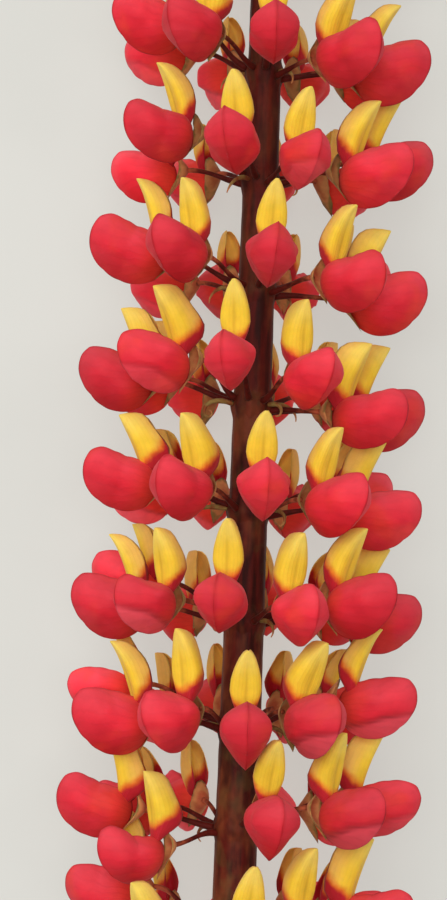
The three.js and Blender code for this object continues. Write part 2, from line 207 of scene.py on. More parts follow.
def wobble(a, b):
    """A small even spread of differences, the same each time."""
    return math.sin(a * WOBBLE_TURNS[0] + b * WOBBLE_TURNS[1])


@dataclass
class Floret:
    """Where one floret grows, and how far it has opened (age 0 is in full flower)."""
    azimuth: float
    rise: float
    pitch: float
    size: float
    reach: float
    lean: float
    whorl: float
    age: float = 0.0
    wings: int = None             # which wing and banner shape it has, where that is settled
    banner: int = None
    # the tint range of an underside floret is set high, which lightens its petals as painted light
    tone_and_painted_light: tuple = (-1.0, 1.0)    # the range that its petals' tint is drawn from, lighter if higher
    banner_size: float = 1.0      # how big its banner is next to the rest of it

    @property
    def station(self):
        return self.whorl + self.rise


print("each floret has:", ", ".join(Floret.__annotations__))

# %% Florets from the tables
def open_florets(whorl):
    return [Floret(*row, whorl=whorl["station"], wings=wings, banner=banner)
            for row, wings, banner in zip(whorl["open"], whorl["wings"], whorl["banners"])]


def under_florets(whorl):
    made = []
    for index, (azimuth, rise, *own) in enumerate(whorl["under"]):
        usual = (UNDER["pitch"] + UNDER["pitch_spread"] * wobble(index, whorl["station"]),
                 UNDER["size"], UNDER["reach"], UNDER["lean"])
        made.append(Floret(azimuth, rise, *(own or usual), whorl=whorl["station"],
                           tone_and_painted_light=UNDER["tone_and_painted_light"], banner_size=UNDER["banner"]))
    return made


def young_florets(whorl):
    made = []
    for index in range(whorl["count"]):
        station, spread = whorl["station"], YOUNG_SPREAD
        place = whorl["turn"] + 360 / whorl["count"] * index
        made.append(Floret(
            azimuth=place + spread["azimuth"] * wobble(station, index),
            rise=spread["rise"] * whorl["size"] * wobble(index, station),
            pitch=whorl["pitch"] + spread["pitch"] * wobble(index + 3, station),
            size=whorl["size"] * (1 + spread["size"] * wobble(index + 5, station)),
            reach=whorl["reach"], lean=whorl["lean"], whorl=station, age=whorl["age"]))
    return made


opened = {name: open_florets(whorl) for name, whorl in WHORLS.items()}
hidden = {name: under_florets(whorl) for name, whorl in WHORLS.items()}
young = {name: young_florets(whorl) for name, whorl in YOUNG_WHORLS.items()}
print(sum(map(len, opened.values())), "florets face up or sideways,",
      sum(map(len, hidden.values())), "down or back,", sum(map(len, young.values())), "are young")

# %% [markdown]
# ## A floret's own axes
#
# A petal is modelled once, in its floret's own axes: x outward along the floret, y to its side
# and z toward the spike's tip, with the calyx at the origin. To set it on the spike we need the
# turn of those axes. The wings follow the floret's pitch, and the banner its own lean.

# %% Axes of a floret
UPWARD = Vector((0, 1, 0))


def outward_at(azimuth):
    turn = math.radians(azimuth)
    return Vector((math.sin(turn), 0, math.cos(turn)))


def axes_at(azimuth, tilt):
    """The turn of a floret's axes, its x tilted toward the spike's tip by tilt degrees."""
    out, angle = outward_at(azimuth), math.radians(tilt)
    forward = math.cos(angle) * out + math.sin(angle) * UPWARD
    lift = math.cos(angle) * UPWARD - math.sin(angle) * out
    return Matrix((forward, lift.cross(forward), lift)).transposed()


def calyx_at(floret):
    return floret.reach * outward_at(floret.azimuth) + floret.station * UPWARD


print("a sideways floret looks along", tuple(round(c, 2) for c in axes_at(90, 0).col[0]))

# %% [markdown]
# ## Wiring nodes
#
# Both the geometry and the finishes are node trees. This small helper adds a node, sets it up
# and wires it in one line. Anything that isn't a socket or a node goes on the socket as a value.
# Its last methods read what a finish follows: a value stored on the mesh, or soft noise.

# %% A helper for node trees
NODE_GRID = {"columns": 12, "wide": 200, "high": 260}     # how nodes are laid out in the editor


class Tree:
    """Adds nodes to a node tree and wires them."""

    def __init__(self, tree):
        self.tree = tree

    def add(self, kind, inputs=None, **settings):
        node = self.tree.nodes.new(kind)
        row, column = divmod(len(self.tree.nodes), NODE_GRID["columns"])
        node.location = (NODE_GRID["wide"] * column, -NODE_GRID["high"] * row)
        for name, value in settings.items():
            setattr(node, name, value)
        for place, value in (inputs or {}).items():
            self.plug(node.inputs[place], value)
        return node

    def plug(self, socket, value):
        if isinstance(value, bpy.types.Node):
            value = next(out for out in value.outputs if out.enabled)
        if isinstance(value, bpy.types.NodeSocket):
            self.tree.links.new(value, socket)
        elif socket.type == "RGBA" and len(value) == 3:
            socket.default_value = (*value, 1)
        else:
            socket.default_value = value

    def calc(self, operation, *values):
        return self.add("ShaderNodeMath", dict(enumerate(values)), operation=operation)

    def vector(self, operation, *values):
        return self.add("ShaderNodeVectorMath", dict(enumerate(values)), operation=operation)

    def scaled(self, vector, factor):
        """A vector or colour times a number."""
        return self.add("ShaderNodeVectorMath", {0: vector, "Scale": factor}, operation="SCALE")

    def mix(self, mask, a, b):
        """Colour a where mask is 0 and colour b where it is 1."""
        node = self.add("ShaderNodeMix", {0: mask, 6: a, 7: b}, data_type="RGBA")
        return node.outputs[2]

    def ease(self, value, low, high, to_low=0.0, to_high=1.0):
        """Turns low..high smoothly into to_low..to_high."""
        inputs = {0: value, 1: low, 2: high, 3: to_low, 4: to_high}
        return self.add("ShaderNodeMapRange", inputs, interpolation_type="SMOOTHSTEP").outputs[0]

    def value(self, name):
        """A named value that was stored on the points of the mesh."""
        return self.add("ShaderNodeAttribute", attribute_name=name).outputs["Fac"]

    def share(self, name, amount):
        """A stored value times an amount."""
        return self.calc("MULTIPLY", self.value(name), amount)

    def noise(self, scale, detail=2.0, stretch=(1, 1, 1), roughness=0.5):
        """Soft noise over the piece, scale in features for each millimetre."""
        place = self.add("ShaderNodeTexCoord").outputs["Object"]
        if stretch != (1, 1, 1):
            place = self.add("ShaderNodeMapping", {0: place, "Scale": stretch})
        inputs = {"Vector": place, "Scale": scale / MM, "Detail": detail, "Roughness": roughness}
        return self.add("ShaderNodeTexNoise", inputs).outputs["Fac"]


print("nodes are laid out in rows of", NODE_GRID["columns"])

# %% A helper for node groups
def new_group(name, kind, inputs, outputs):
    """A node group with named sockets. Gives its Tree, its inputs by name and its outputs' node."""
    group = bpy.data.node_groups.new(name, kind)
    for title, (socket_type, default) in inputs.items():
        socket = group.interface.new_socket(title, in_out="INPUT", socket_type=socket_type)
        if default is not None:
            socket.default_value = default
    for title, socket_type in outputs.items():
        group.interface.new_socket(title, in_out="OUTPUT", socket_type=socket_type)
    tree = Tree(group)
    return tree, tree.add("NodeGroupInput").outputs, tree.add("NodeGroupOutput")


print("ready: new_group, for effects that finishes share and for geometry")

# %% [markdown]
# ## Shared effects
#
# Petals, cups and stalks share a few effects: fine veins, uneven colour, and the down that
# covers every green part of a lupin. Each is made once as a node group that gives out a mask or
# a height, and each finish then uses it with its own numbers.

# %% Veins, mottling, down and petal skin
FLOAT = "NodeSocketFloat"


def petal_veins():
    tree, given, out = new_group(
        "Petal Veins", "ShaderNodeTree",
        {"Across": (FLOAT, 0.0), "Count": (FLOAT, 20.0), "Wander": (FLOAT, 0.5), "Width": (FLOAT, 0.3)},
        {"Veins": FLOAT})
    drift = tree.calc("MULTIPLY_ADD", tree.noise(scale=0.35), given["Wander"],
                      tree.calc("MULTIPLY", given["Across"], given["Count"]))
    ridge = tree.calc("PINGPONG", drift, 0.5)
    start = tree.calc("SUBTRACT", 0.5, tree.calc("MULTIPLY", given["Width"], 0.5))
    tree.plug(out.inputs["Veins"], tree.ease(ridge, start, 0.5))
    return tree.tree


def mottling():
    tree, given, out = new_group(
        "Mottling", "ShaderNodeTree", {"Size": (FLOAT, 2.0), "Amount": (FLOAT, 0.1)}, {"Shade": FLOAT})
    noise = tree.noise(scale=1.0, detail=4)
    tree.plug(noise.node.inputs["Scale"], tree.calc("DIVIDE", 1 / MM, given["Size"]))
    spread = tree.calc("MULTIPLY", tree.calc("SUBTRACT", noise, 0.5), given["Amount"])
    tree.plug(out.inputs["Shade"], tree.calc("MULTIPLY_ADD", spread, 2.0, 1.0))
    return tree.tree


def fine_down():
    tree, given, out = new_group(
        "Fine Down", "ShaderNodeTree", {"Density": (FLOAT, 0.5)}, {"Hairs": FLOAT})
    strands = tree.noise(scale=5.0, stretch=(1, 0.25, 1), roughness=0.6)
    patches = tree.ease(tree.noise(scale=0.4), low=0.3, high=0.7, to_low=0.4)
    sparse, dense, full = 0.78, 0.48, 0.8       # where a strand starts to show, and shows in full
    threshold = tree.calc("SUBTRACT", sparse, tree.calc("MULTIPLY", given["Density"], sparse - dense))
    hairs = tree.ease(strands, threshold, full)
    tree.plug(out.inputs["Hairs"], tree.calc("MULTIPLY", hairs, patches))
    return tree.tree


def petal_skin():
    tree, given, out = new_group(
        "Petal Skin", "ShaderNodeTree", {"Cell Size": (FLOAT, 0.22)}, {"Height": FLOAT})
    place = tree.add("ShaderNodeTexCoord").outputs["Object"]
    scale = tree.calc("DIVIDE", 1 / MM, given["Cell Size"])
    cells = tree.add("ShaderNodeTexVoronoi", {"Vector": place, "Scale": scale, "Randomness": 0.9},
                     feature="SMOOTH_F1")
    tree.plug(out.inputs["Height"], tree.calc("SUBTRACT", 1.0, cells.outputs["Distance"]))
    return tree.tree


EFFECTS = {"veins": petal_veins(), "mottling": mottling(), "down": fine_down(), "skin": petal_skin()}
print("shared effects:", ", ".join(EFFECTS))

# %% [markdown]
# ## Starting a finish
#
# Every finish starts the same way: a material with one Principled shader. Sheen and the
# scattering of light inside a petal are the same all over it, so they are set on the shader
# itself. What changes over the surface is wired in afterwards.
#
# A petal's colour is painted in layers, as a painter would: a ground, then tones that come in
# where something is near, such as the claw or the rim. Long chains of mixing nodes are hard to
# read, so `layered` takes a list with one line for each tone.

# %% Helpers for finishes
def srgb(red, green, blue):
    """A colour as a paint chart gives it, 0 to 255, turned into light for the shader."""
    share = np.array((red, green, blue)) / 255
    return tuple(np.where(share <= 0.04045, share / 12.92, ((share + 0.055) / 1.055) ** 2.4))


def new_finish(name, **constants):
    """A material's name and its shader's constant values. Gives material, Tree and shader."""
    material = bpy.data.materials.new(name)
    material.use_nodes = True
    tree = Tree(material.node_tree)
    shader = material.node_tree.nodes["Principled BSDF"]
    for title, value in constants.items():
        tree.plug(shader.inputs[title.replace("_", " ").title().replace("Ior", "IOR")], value)
    return material, tree, shader


def effect(tree, which, inputs):
    """One of the shared effects, with this finish's own numbers."""
    return tree.add("ShaderNodeGroup", inputs, node_tree=EFFECTS[which]).outputs[0]


def layered(tree, colour, tones, *layers):
    """Lays tones over a colour. A layer is what it follows (a stored value's name or a socket),
    where it starts, where it is full, how much of it shows there, and its tone."""
    for follows, start, full, amount, tone in layers:
        value = tree.value(follows) if isinstance(follows, str) else follows
        colour = tree.mix(tree.ease(value, start, full, 0.0, amount), colour, tones[tone])
    return colour


def lighter(tree, light, *changes):
    """A number that shades a colour. A change is what it follows, how much lighter it makes the
    colour (darker below 0), and the light where it is absent."""
    for follows, amount, plain in changes:
        light = tree.calc("MULTIPLY", light, tree.calc("MULTIPLY_ADD", follows, amount, plain))
    return light


def bump(tree, shader, height, depth, strength):
    """Wires a height to the shader's normal. The depth is in millimetres."""
    node = tree.add("ShaderNodeBump", {"Height": height, "Distance": depth * MM, "Strength": strength})
    tree.plug(shader.inputs["Normal"], node)


print("ready: srgb, new_finish, effect, layered, lighter and bump")

# %% [markdown]
# ## The red of the wings
#
# A wing petal is satin crimson. Its upper side is painted pinker, a painted highlight where the
# light falls from above, and its lower edge and its pressed rim are painted a deeper red, as
# painted shade. It turns orange-red toward the calyx, where the petal narrows, and in a few soft
# patches. Where the lower edge is tucked in, the flap is pinker, and the crease above it is
# darkened with a painted shadow. Very fine veins fan out from the claw. Each floret's red differs
# a little, so a `tint` value stored on each floret shifts it; the florets of the underside get a
# higher tint, which lightens them as painted light.

# %% Wing finish
# "pink" is the painted highlight of the upper side, and also the flap's pinker tone; "deep" is the painted
# shade of the lower side and the rim.
WING = {
    "red": srgb(210, 34, 50), "deep": srgb(174, 15, 21), "orange": srgb(214, 58, 36),
    "pink": srgb(224, 86, 98), "young": srgb(224, 92, 66),
}


def wing_finish():
    material, tree, shader = new_finish(
        "wing_petal", subsurface_weight=0.12, subsurface_radius=(1.0, 0.25, 0.2),
        subsurface_scale=0.8 * MM, sheen_weight=0.05, sheen_roughness=0.4,
        sheen_tint=srgb(255, 190, 200), specular_ior_level=0.2)
    # The upper side is lightened to pink as a painted highlight, and the lower side and the rim are
    # darkened to deep red as painted shade.
    colour = layered(
        tree, WING["red"], WING,
        ("up", 0.5, 0.05, 0.8, "deep"), ("up", 0.45, 0.9, 0.42, "pink"),
        ("along", 0.5, 0.0, 0.85, "orange"), (tree.noise(scale=0.12), 0.5, 0.72, 0.5, "orange"),
        ("rim", 0.9, 1.0, 0.45, "deep"))
    colour = tree.mix(tree.share("age", 0.9), colour, WING["young"])
    colour = tree.mix(tree.share("flap", 0.6), colour, WING["pink"])
    veins = effect(tree, "veins", {"Across": tree.value("vein"), "Count": 26.0, "Wander": 1.2,
                                   "Width": 0.55})
    mottle = effect(tree, "mottling", {"Size": 4.5, "Amount": 0.22})
    # The crease above a tucked flap is darkened by a painted shadow. Tint varies each floret's red a
    # little, and the higher tint of the underside florets lightens them as painted light.
    light = lighter(tree, mottle, (veins, -0.04, 1.01), (tree.value("tint"), 0.13, 1.0),
                    (tree.value("crease"), -0.35, 1.0))
    tree.plug(shader.inputs["Base Color"], tree.scaled(colour, light))
    tree.plug(shader.inputs["Roughness"], tree.calc("MULTIPLY_ADD", mottle, -0.25, 0.9))
    skin = effect(tree, "skin", {"Cell Size": 0.24})
    bump(tree, shader, tree.calc("MULTIPLY_ADD", veins, 1.4, skin), depth=0.03, strength=0.6)
    return material


print("tones of the wings:", ", ".join(WING))

# %% [markdown]
# ## The yellow of the banner
#
# The banner is yellow only where it shows. Low down it turns through orange into crimson, in a
# V, and the crimson climbs higher on the petal's back. Its folded-back edges are a warm cream,
# and the back is orange-yellow, painted lighter as painted light for the light that shines
# through the petal. A shallow groove runs up the middle, a touch duller. On the florets of the
# underside a higher tint creams the edges and lowers the crimson foot, as painted light.

# %% Banner finish
# "back" is orange-yellow, made lighter as painted light for light that shines through the petal.
BANNER_COLOURS = {
    "yellow": srgb(236, 194, 52), "pale": srgb(236, 202, 92), "groove": srgb(206, 164, 40),
    "orange": srgb(222, 108, 34), "crimson": srgb(182, 30, 42), "cream": srgb(240, 186, 96),
    "back": srgb(252, 202, 100), "young": srgb(214, 196, 92),
}
FOOT_V = {"power": 1.6, "depth": 0.3, "back": -0.26, "tint": 0.03, "ragged": 0.6}


def banner_foot(tree, side, ragged):
    """How far a point is from the crimson foot, which is a V in front and higher on the back."""
    foot = tree.calc("ADD", tree.value("along"), tree.calc("MULTIPLY", ragged, FOOT_V["ragged"]))
    notch = tree.calc("MULTIPLY", tree.calc("POWER", side, FOOT_V["power"]), FOOT_V["depth"])
    # A higher tint lowers the crimson foot; on the florets of the underside this is painted light.
    foot = tree.calc("ADD", tree.calc("SUBTRACT", foot, notch), tree.share("tint", FOOT_V["tint"]))
    return tree.calc("MULTIPLY_ADD", tree.value("back"), FOOT_V["back"], foot)


def banner_finish():
    material, tree, shader = new_finish(
        "banner_petal", subsurface_weight=0.35, subsurface_radius=(1.0, 0.6, 0.2),
        subsurface_scale=0.8 * MM, sheen_weight=0.1, sheen_roughness=0.4,
        sheen_tint=srgb(255, 240, 200), specular_ior_level=0.2)
    tones = BANNER_COLOURS
    along, side = tree.value("along"), tree.calc("ABSOLUTE", tree.value("across"))
    ragged = tree.calc("MULTIPLY_ADD", tree.noise(scale=0.5, detail=3), 0.2, -0.1)
    colour = layered(tree, tones["yellow"], tones, (along, 0.55, 0.95, 1.0, "pale"))
    groove = tree.calc("MULTIPLY", tree.ease(side, 0.1, 0.0), tree.ease(along, 0.85, 0.55))
    colour = tree.mix(tree.calc("MULTIPLY", groove, 0.6), colour, tones["groove"])
    # A higher tint creams the edges; on the florets of the underside this is painted light.
    edge = tree.calc("ADD", tree.calc("ADD", side, ragged), tree.share("tint", 0.1))
    colour = layered(tree, colour, tones, (edge, 0.55, 0.95, 0.85, "cream"))
    # The back skin takes the lighter back colour: its own orange-yellow, with painted light for light
    # through the petal.
    colour = tree.mix(tree.share("back", 0.8), colour, tones["back"])
    foot = banner_foot(tree, side, ragged)
    colour = layered(tree, colour, tones, (foot, 0.34, 0.2, 1.0, "orange"),
                     (foot, 0.24, 0.16, 1.0, "crimson"))
    colour = tree.mix(tree.share("age", 0.7), colour, tones["young"])
    veins = effect(tree, "veins", {"Across": tree.value("across"), "Count": 9.0, "Wander": 0.7,
                                   "Width": 0.6})
    mottle = effect(tree, "mottling", {"Size": 2.2, "Amount": 0.16})
    light = lighter(tree, mottle, (veins, -0.03, 1.01))
    tree.plug(shader.inputs["Base Color"], tree.scaled(colour, light))
    tree.plug(shader.inputs["Roughness"], tree.calc("MULTIPLY_ADD", mottle, -0.2, 0.9))
    skin = effect(tree, "skin", {"Cell Size": 0.22})
    bump(tree, shader, tree.calc("MULTIPLY_ADD", veins, 1.0, skin), depth=0.03, strength=0.6)
    return material


print("tones of the banner:", ", ".join(BANNER_COLOURS))

# %% [markdown]
# ## The downy green and brown parts
#
# The calyx is rust brown at its foot, tan further up and olive at its pointed lips. The stalks
# are dark maroon and turn rusty where they meet the cup. The stem is dark maroon too, with
# browner blotches and a little moss green. All of them are covered with short pale down, so they
# share one kind of finish: each has its own colour rule, and the down is laid over it.

# %% The downy finish
GREENS = {
    "rust": srgb(184, 90, 58), "olive": srgb(138, 112, 60), "tan": srgb(206, 138, 84),
    "maroon": srgb(84, 16, 8), "dark": srgb(46, 8, 3), "brown": srgb(126, 62, 32),
    "moss": srgb(96, 88, 44), "pith": srgb(206, 204, 158), "down": srgb(196, 176, 140),
}


def downy_finish(name, colour_of, down, depth, roughness=0.62, sheen=0.3):
    """A finish for the downy parts. colour_of wires the colour under the down."""
    material, tree, shader = new_finish(
        name, sheen_weight=sheen, sheen_roughness=0.45, sheen_tint=GREENS["down"],
        specular_ior_level=0.12)
    hairs = effect(tree, "down", {"Density": down})
    mottle = effect(tree, "mottling", {"Size": 1.4, "Amount": 0.25})
    colour = tree.scaled(colour_of(tree), mottle)
    colour = tree.mix(tree.calc("MULTIPLY", hairs, sheen * 0.8), colour, GREENS["down"])
    tree.plug(shader.inputs["Base Color"], colour)
    tree.plug(shader.inputs["Roughness"], tree.calc("MULTIPLY_ADD", hairs, 0.25, roughness))
    height = tree.calc("MULTIPLY_ADD", hairs, 0.6, tree.noise(scale=0.9, detail=4))
    bump(tree, shader, height, depth, strength=0.8)
    return material


def uneven(tree, name, scale, amount):
    """A stored value that wanders up and down by an amount, so that no edge it makes is even."""
    drift = tree.ease(tree.noise(scale), low=0.3, high=0.7, to_low=-amount, to_high=amount)
    return tree.calc("ADD", tree.value(name), drift)


print("colours of the downy parts:", ", ".join(GREENS))

# %% Colours of the calyx, stalks, bracts and stem
def calyx_colour(tree):
    lip = uneven(tree, "along", scale=0.5, amount=0.15)
    return layered(tree, GREENS["rust"], GREENS, (lip, 0.2, 0.75, 1.0, "tan"),
                   (lip, 0.75, 1.05, 1.0, "olive"), ("tint", 0.2, 1.0, 0.4, "moss"))


def stalk_colour(tree):
    along = uneven(tree, "along", scale=0.3, amount=0.2)
    return layered(tree, GREENS["maroon"], GREENS, (along, 0.5, 1.0, 1.0, "rust"),
                   (tree.noise(scale=0.8), 0.45, 0.7, 0.6, "dark"))


def bract_colour(tree):
    return layered(tree, GREENS["brown"], GREENS, (tree.noise(scale=0.6), 0.35, 0.65, 1.0, "olive"),
                   ("along", 0.6, 1.0, 0.7, "tan"))


def stem_colour(tree):
    streaks = tree.noise(scale=0.7, detail=4, stretch=(1, 0.1, 1), roughness=0.6)
    blotches = tree.noise(scale=0.16, detail=3, stretch=(1, 0.4, 1), roughness=0.6)
    colour = layered(tree, GREENS["dark"], GREENS, (streaks, 0.35, 0.65, 1.0, "maroon"))
    old = tree.ease(tree.value("age"), low=0.35, high=0.65, to_low=1.0, to_high=0.35)
    mossy = tree.noise(scale=0.2, detail=3)
    for follows, start, full, amount, tone in (
            (blotches, 0.42, 0.62, 0.65, "brown"), (mossy, 0.52, 0.68, 0.18, "moss")):
        patches = tree.calc("MULTIPLY", tree.ease(follows, start, full), old)
        colour = tree.mix(tree.calc("MULTIPLY", patches, amount), colour, GREENS[tone])
    return tree.mix(tree.value("pith"), colour, GREENS["pith"])


print("ready: the colour rules of the calyx, stalks, bracts and stem")

# %% [markdown]
# ## The colours of the buds
#
# Nothing of the closed tip shows in the photograph, so it follows how such lupins grow: the
# lowest buds are red with a yellow edge, and toward the top they turn to small green buds that
# are still wrapped in their downy calyx.

# %% Bud finishes
BUD_TONES = {
    "red": WING["red"], "deep": WING["deep"], "orange": BANNER_COLOURS["orange"],
    "yellow": BANNER_COLOURS["yellow"], "olive": GREENS["olive"],
}


def bud_colour(tree):
    return layered(tree, BUD_TONES["red"], BUD_TONES, ("up", 0.35, 0.75, 1.0, "orange"),
                   ("along", 0.55, 0.95, 0.7, "yellow"), ("age", 0.55, 1.0, 0.85, "olive"),
                   ("tint", 0.0, 1.0, 0.25, "deep"))


def bud_calyx_colour(tree):
    return layered(tree, GREENS["olive"], GREENS, ("along", 0.1, 0.9, 1.0, "rust"),
                   ("age", 0.5, 1.0, 0.7, "moss"))


FINISH = {
    "wing": wing_finish(),
    "banner": banner_finish(),
    "calyx": downy_finish("calyx", calyx_colour, down=0.55, depth=0.08),
    "stalk": downy_finish("stalk", stalk_colour, down=0.35, depth=0.05, sheen=0.08),
    "bract": downy_finish("dry_bract", bract_colour, down=0.4, depth=0.05, sheen=0.1),
    "stem": downy_finish("stem_skin", stem_colour, down=0.3, depth=0.12, roughness=0.6, sheen=0.03),
    "bud": downy_finish("bud_petal", bud_colour, down=0.2, depth=0.04, roughness=0.5),
    "bud_calyx": downy_finish("bud_calyx", bud_calyx_colour, down=0.7, depth=0.08),
}
print("finishes:", ", ".join(FINISH))

# %% [markdown]
# ## From a rule to a closed shape
#
# A petal is a thin sheet. If it were one layer of faces it would have no thickness and two wrong
# sides, so each petal gets a front skin and a back skin that meet at the rim, which closes it.
# The surface itself is a rule: two numbers in, one point out. That keeps the faces even, gives
# every petal a tidy map for its own patch of a picture, and lets it carry named values, such as
# how far along the petal a point is, for the finishes to read.

# %% Shapes made by a rule
@dataclass
class Shape:
    """Points in mm, faces, a map corner for each face corner, and named values of each point."""
    points: np.ndarray
    faces: list
    corners: list
    values: dict = field(default_factory=dict)


FRONT_SHARE = 0.62      # how much of a petal's patch of the map its front skin takes
SKIN_GAP = 0.01         # and how far each skin's share ends from that line


def grid_faces(index, left, right, flip, wraps):
    """Four-sided faces over a grid of point numbers, with their map corners in left..right."""
    faces, corners = [], []
    rows, columns = index.shape
    steps = rows if wraps else rows - 1
    for i in range(steps):
        for j in range(columns - 1):
            ring = [(i, j), (i + 1, j), (i + 1, j + 1), (i, j + 1)]
            if flip:
                ring.reverse()
            face = [int(index[a % rows, b]) for a, b in ring]
            spots = [(left + (right - left) * a / steps, b / (columns - 1)) for a, b in ring]
            kept = [k for k in range(4) if face[k] != face[k - 1]]
            faces.append([face[k] for k in kept])
            corners.append([spots[k] for k in kept])
    return faces, corners


print("a petal's front skin takes", FRONT_SHARE, "of its patch of the map")

# %% Petals with two skins, and closed solids
def two_skins(surface, rows, columns, thickness, values, wraps=False):
    """A thin petal: surface(row, column) is its middle, and both skins share the rim's points."""
    row, column = np.meshgrid(rows, columns, indexing="ij")
    middle = surface(row, column)
    run = np.roll(middle, -1, 0) - np.roll(middle, 1, 0) if wraps else np.gradient(middle, axis=0)
    out = np.cross(run, np.gradient(middle, axis=1))
    out /= np.maximum(np.linalg.norm(out, axis=2, keepdims=True), 1e-9)
    rim = np.zeros(row.shape, bool)
    rim[:, [0, -1]] = True
    if not wraps:
        rim[[0, -1], :] = True
    lift = np.where(rim[..., None], 0, out * thickness(row, column)[..., None] / 2)
    front = np.arange(row.size).reshape(row.shape)
    back = front.copy()
    back[~rim] = row.size + np.arange((~rim).sum())
    front_faces, front_corners = grid_faces(front, 0, FRONT_SHARE - SKIN_GAP, False, wraps)
    back_faces, back_corners = grid_faces(back, FRONT_SHARE + SKIN_GAP, 1, True, wraps)
    both = {name: np.concatenate((value.ravel(), value[~rim]))
            for name, value in values(row, column, middle).items()}
    both["back"] = np.concatenate((rim.ravel() * 0.5, np.ones((~rim).sum())))
    points = np.concatenate(((middle + lift).reshape(-1, 3), (middle - lift)[~rim]))
    return Shape(points, front_faces + back_faces, front_corners + back_corners, both)


def solid_round(surface, rows, columns, values):
    """A closed solid whose first and last columns are points, such as a bud."""
    row, column = np.meshgrid(rows, columns, indexing="ij")
    points = surface(row, column)
    index = np.arange(row.size).reshape(row.shape)
    index[:, 0], index[:, -1] = index[0, 0], index[0, -1]
    faces, corners = grid_faces(index, 0, 1, False, True)
    used, place = np.unique(np.concatenate(faces), return_inverse=True)
    place = iter(place)
    faces = [[int(next(place)) for _ in face] for face in faces]
    named = {name: value.ravel()[used] for name, value in values(row, column, points).items()}
    return Shape(points.reshape(-1, 3)[used], faces, corners, named)


print("ready: two_skins for petals and cups, solid_round for buds")

# %% Shapes side by side
def mirrored(shape):
    """The same petal for the other side, still facing outward."""
    return Shape(shape.points * (1, -1, 1), [face[::-1] for face in shape.faces],
                 [corner[::-1] for corner in shape.corners], dict(shape.values))


def side_by_side(*shapes):
    """Several shapes as one, each with its own strip of the map."""
    faces, corners, start = [], [], 0
    for place, shape in enumerate(shapes):
        faces += [[start + point for point in face] for face in shape.faces]
        corners += [[((u + place) / len(shapes), v) for u, v in spots] for spots in shape.corners]
        start += len(shape.points)
    values = {name: np.concatenate([s.values[name] for s in shapes]) for name in shapes[0].values}
    return Shape(np.concatenate([s.points for s in shapes]), faces, corners, values)


print("ready: mirrored and side_by_side, for the two wings of a pouch")

# %% [markdown]
# ## Shelves of shapes
#
# No two petals of a real spike are alike, but a hundred different ones would be slow to make. A
# few variants of each petal are enough, if every floret also differs in size, turn and tint. Each
# kind of petal gets a shelf, a collection of its variants, which the node tree picks from.

# %% Shelves
MAP_NAME = "OFBake"
MAP_MARGIN = 0.03                 # of a patch, left free at each of its edges


def shape_object(shape, name, collection):
    """Makes the mesh object of a shape, in metres, with its map and its named values."""
    mesh = bpy.data.meshes.new(name)
    mesh.from_pydata((shape.points * MM).tolist(), [], shape.faces)
    spots = np.concatenate([np.array(c) for c in shape.corners])
    chart = mesh.uv_layers.new(name=MAP_NAME)
    chart.data.foreach_set("uv", (MAP_MARGIN + spots * (1 - 2 * MAP_MARGIN)).astype(np.float32).ravel())
    for title, value in shape.values.items():
        mesh.attributes.new(title, "FLOAT", "POINT").data.foreach_set("value", value.astype(np.float32))
    mesh.polygons.foreach_set("use_smooth", [True] * len(mesh.polygons))
    collection.objects.link(bpy.data.objects.new(name, mesh))


def shape_shelf(name, shapes):
    """A collection that holds the variants of one petal, for the node tree to choose from."""
    shelf = bpy.data.collections.new(name)
    bpy.context.scene.collection.children.link(shelf)
    for number, shape in enumerate(shapes):
        shape_object(shape, f"{name}_{number}", shelf)
    print(f"{name}: {len(shapes)} variants of {len(shapes[0].faces)} faces")
    return shelf


print("the map's margin is", MAP_MARGIN, "of a patch")

# %% Helpers for outlines
PROFILE_STEPS = 200


def smooth_profile(pairs, blur=0.06):
    """A smooth reading of a list of (position, value) pairs, over 0 to 1."""
    places = np.linspace(0, 1, PROFILE_STEPS + 1)
    values = np.interp(places, *np.array(pairs).T)
    reach = round(blur * PROFILE_STEPS)
    padded = np.concatenate((2 * values[0] - values[reach:0:-1], values,
                             2 * values[-1] - values[-2:-reach - 2:-1]))
    weights = np.hanning(2 * reach + 3)[1:-1]
    smoothed = np.convolve(padded, weights / weights.sum(), "valid")
    return lambda position: np.interp(position, places, smoothed)


def toward_edges(count, crowding):
    """Steps from -1 to 1 that crowd toward both edges, where a petal bends most."""
    even = np.linspace(-1, 1, count)
    return (1 - crowding) * even + crowding * np.sin(even * np.pi / 2)


def round_steps(count):
    """Steps round a full turn, without the last one, which is the first again."""
    return np.linspace(0, 2 * np.pi, count, endpoint=False)


def near(turn, place, width):
    """1 at a place round a full turn, falling softly to 0 away from it."""
    return np.exp(-(((turn - place) / width) ** 2))


print("an outline is read in", PROFILE_STEPS, "steps")

# %% [markdown]
# ## The wings
#
# The two wings of a lupin floret are joined at their tips and hide the keel, so together they
# look like a bean-shaped pouch with a ridge where their edges press together. A stretched ball
# would do from far away, but it has no ridge and no edge. Here each wing is a cupped sheet: a
# square grid is bent into a disc with no pole in the middle, the disc is stretched to the
# petal's side outline, and it swells sideways and flattens again into a narrow pressed rim. On
# some florets the lower edge is tucked in, with a crease above the flap.

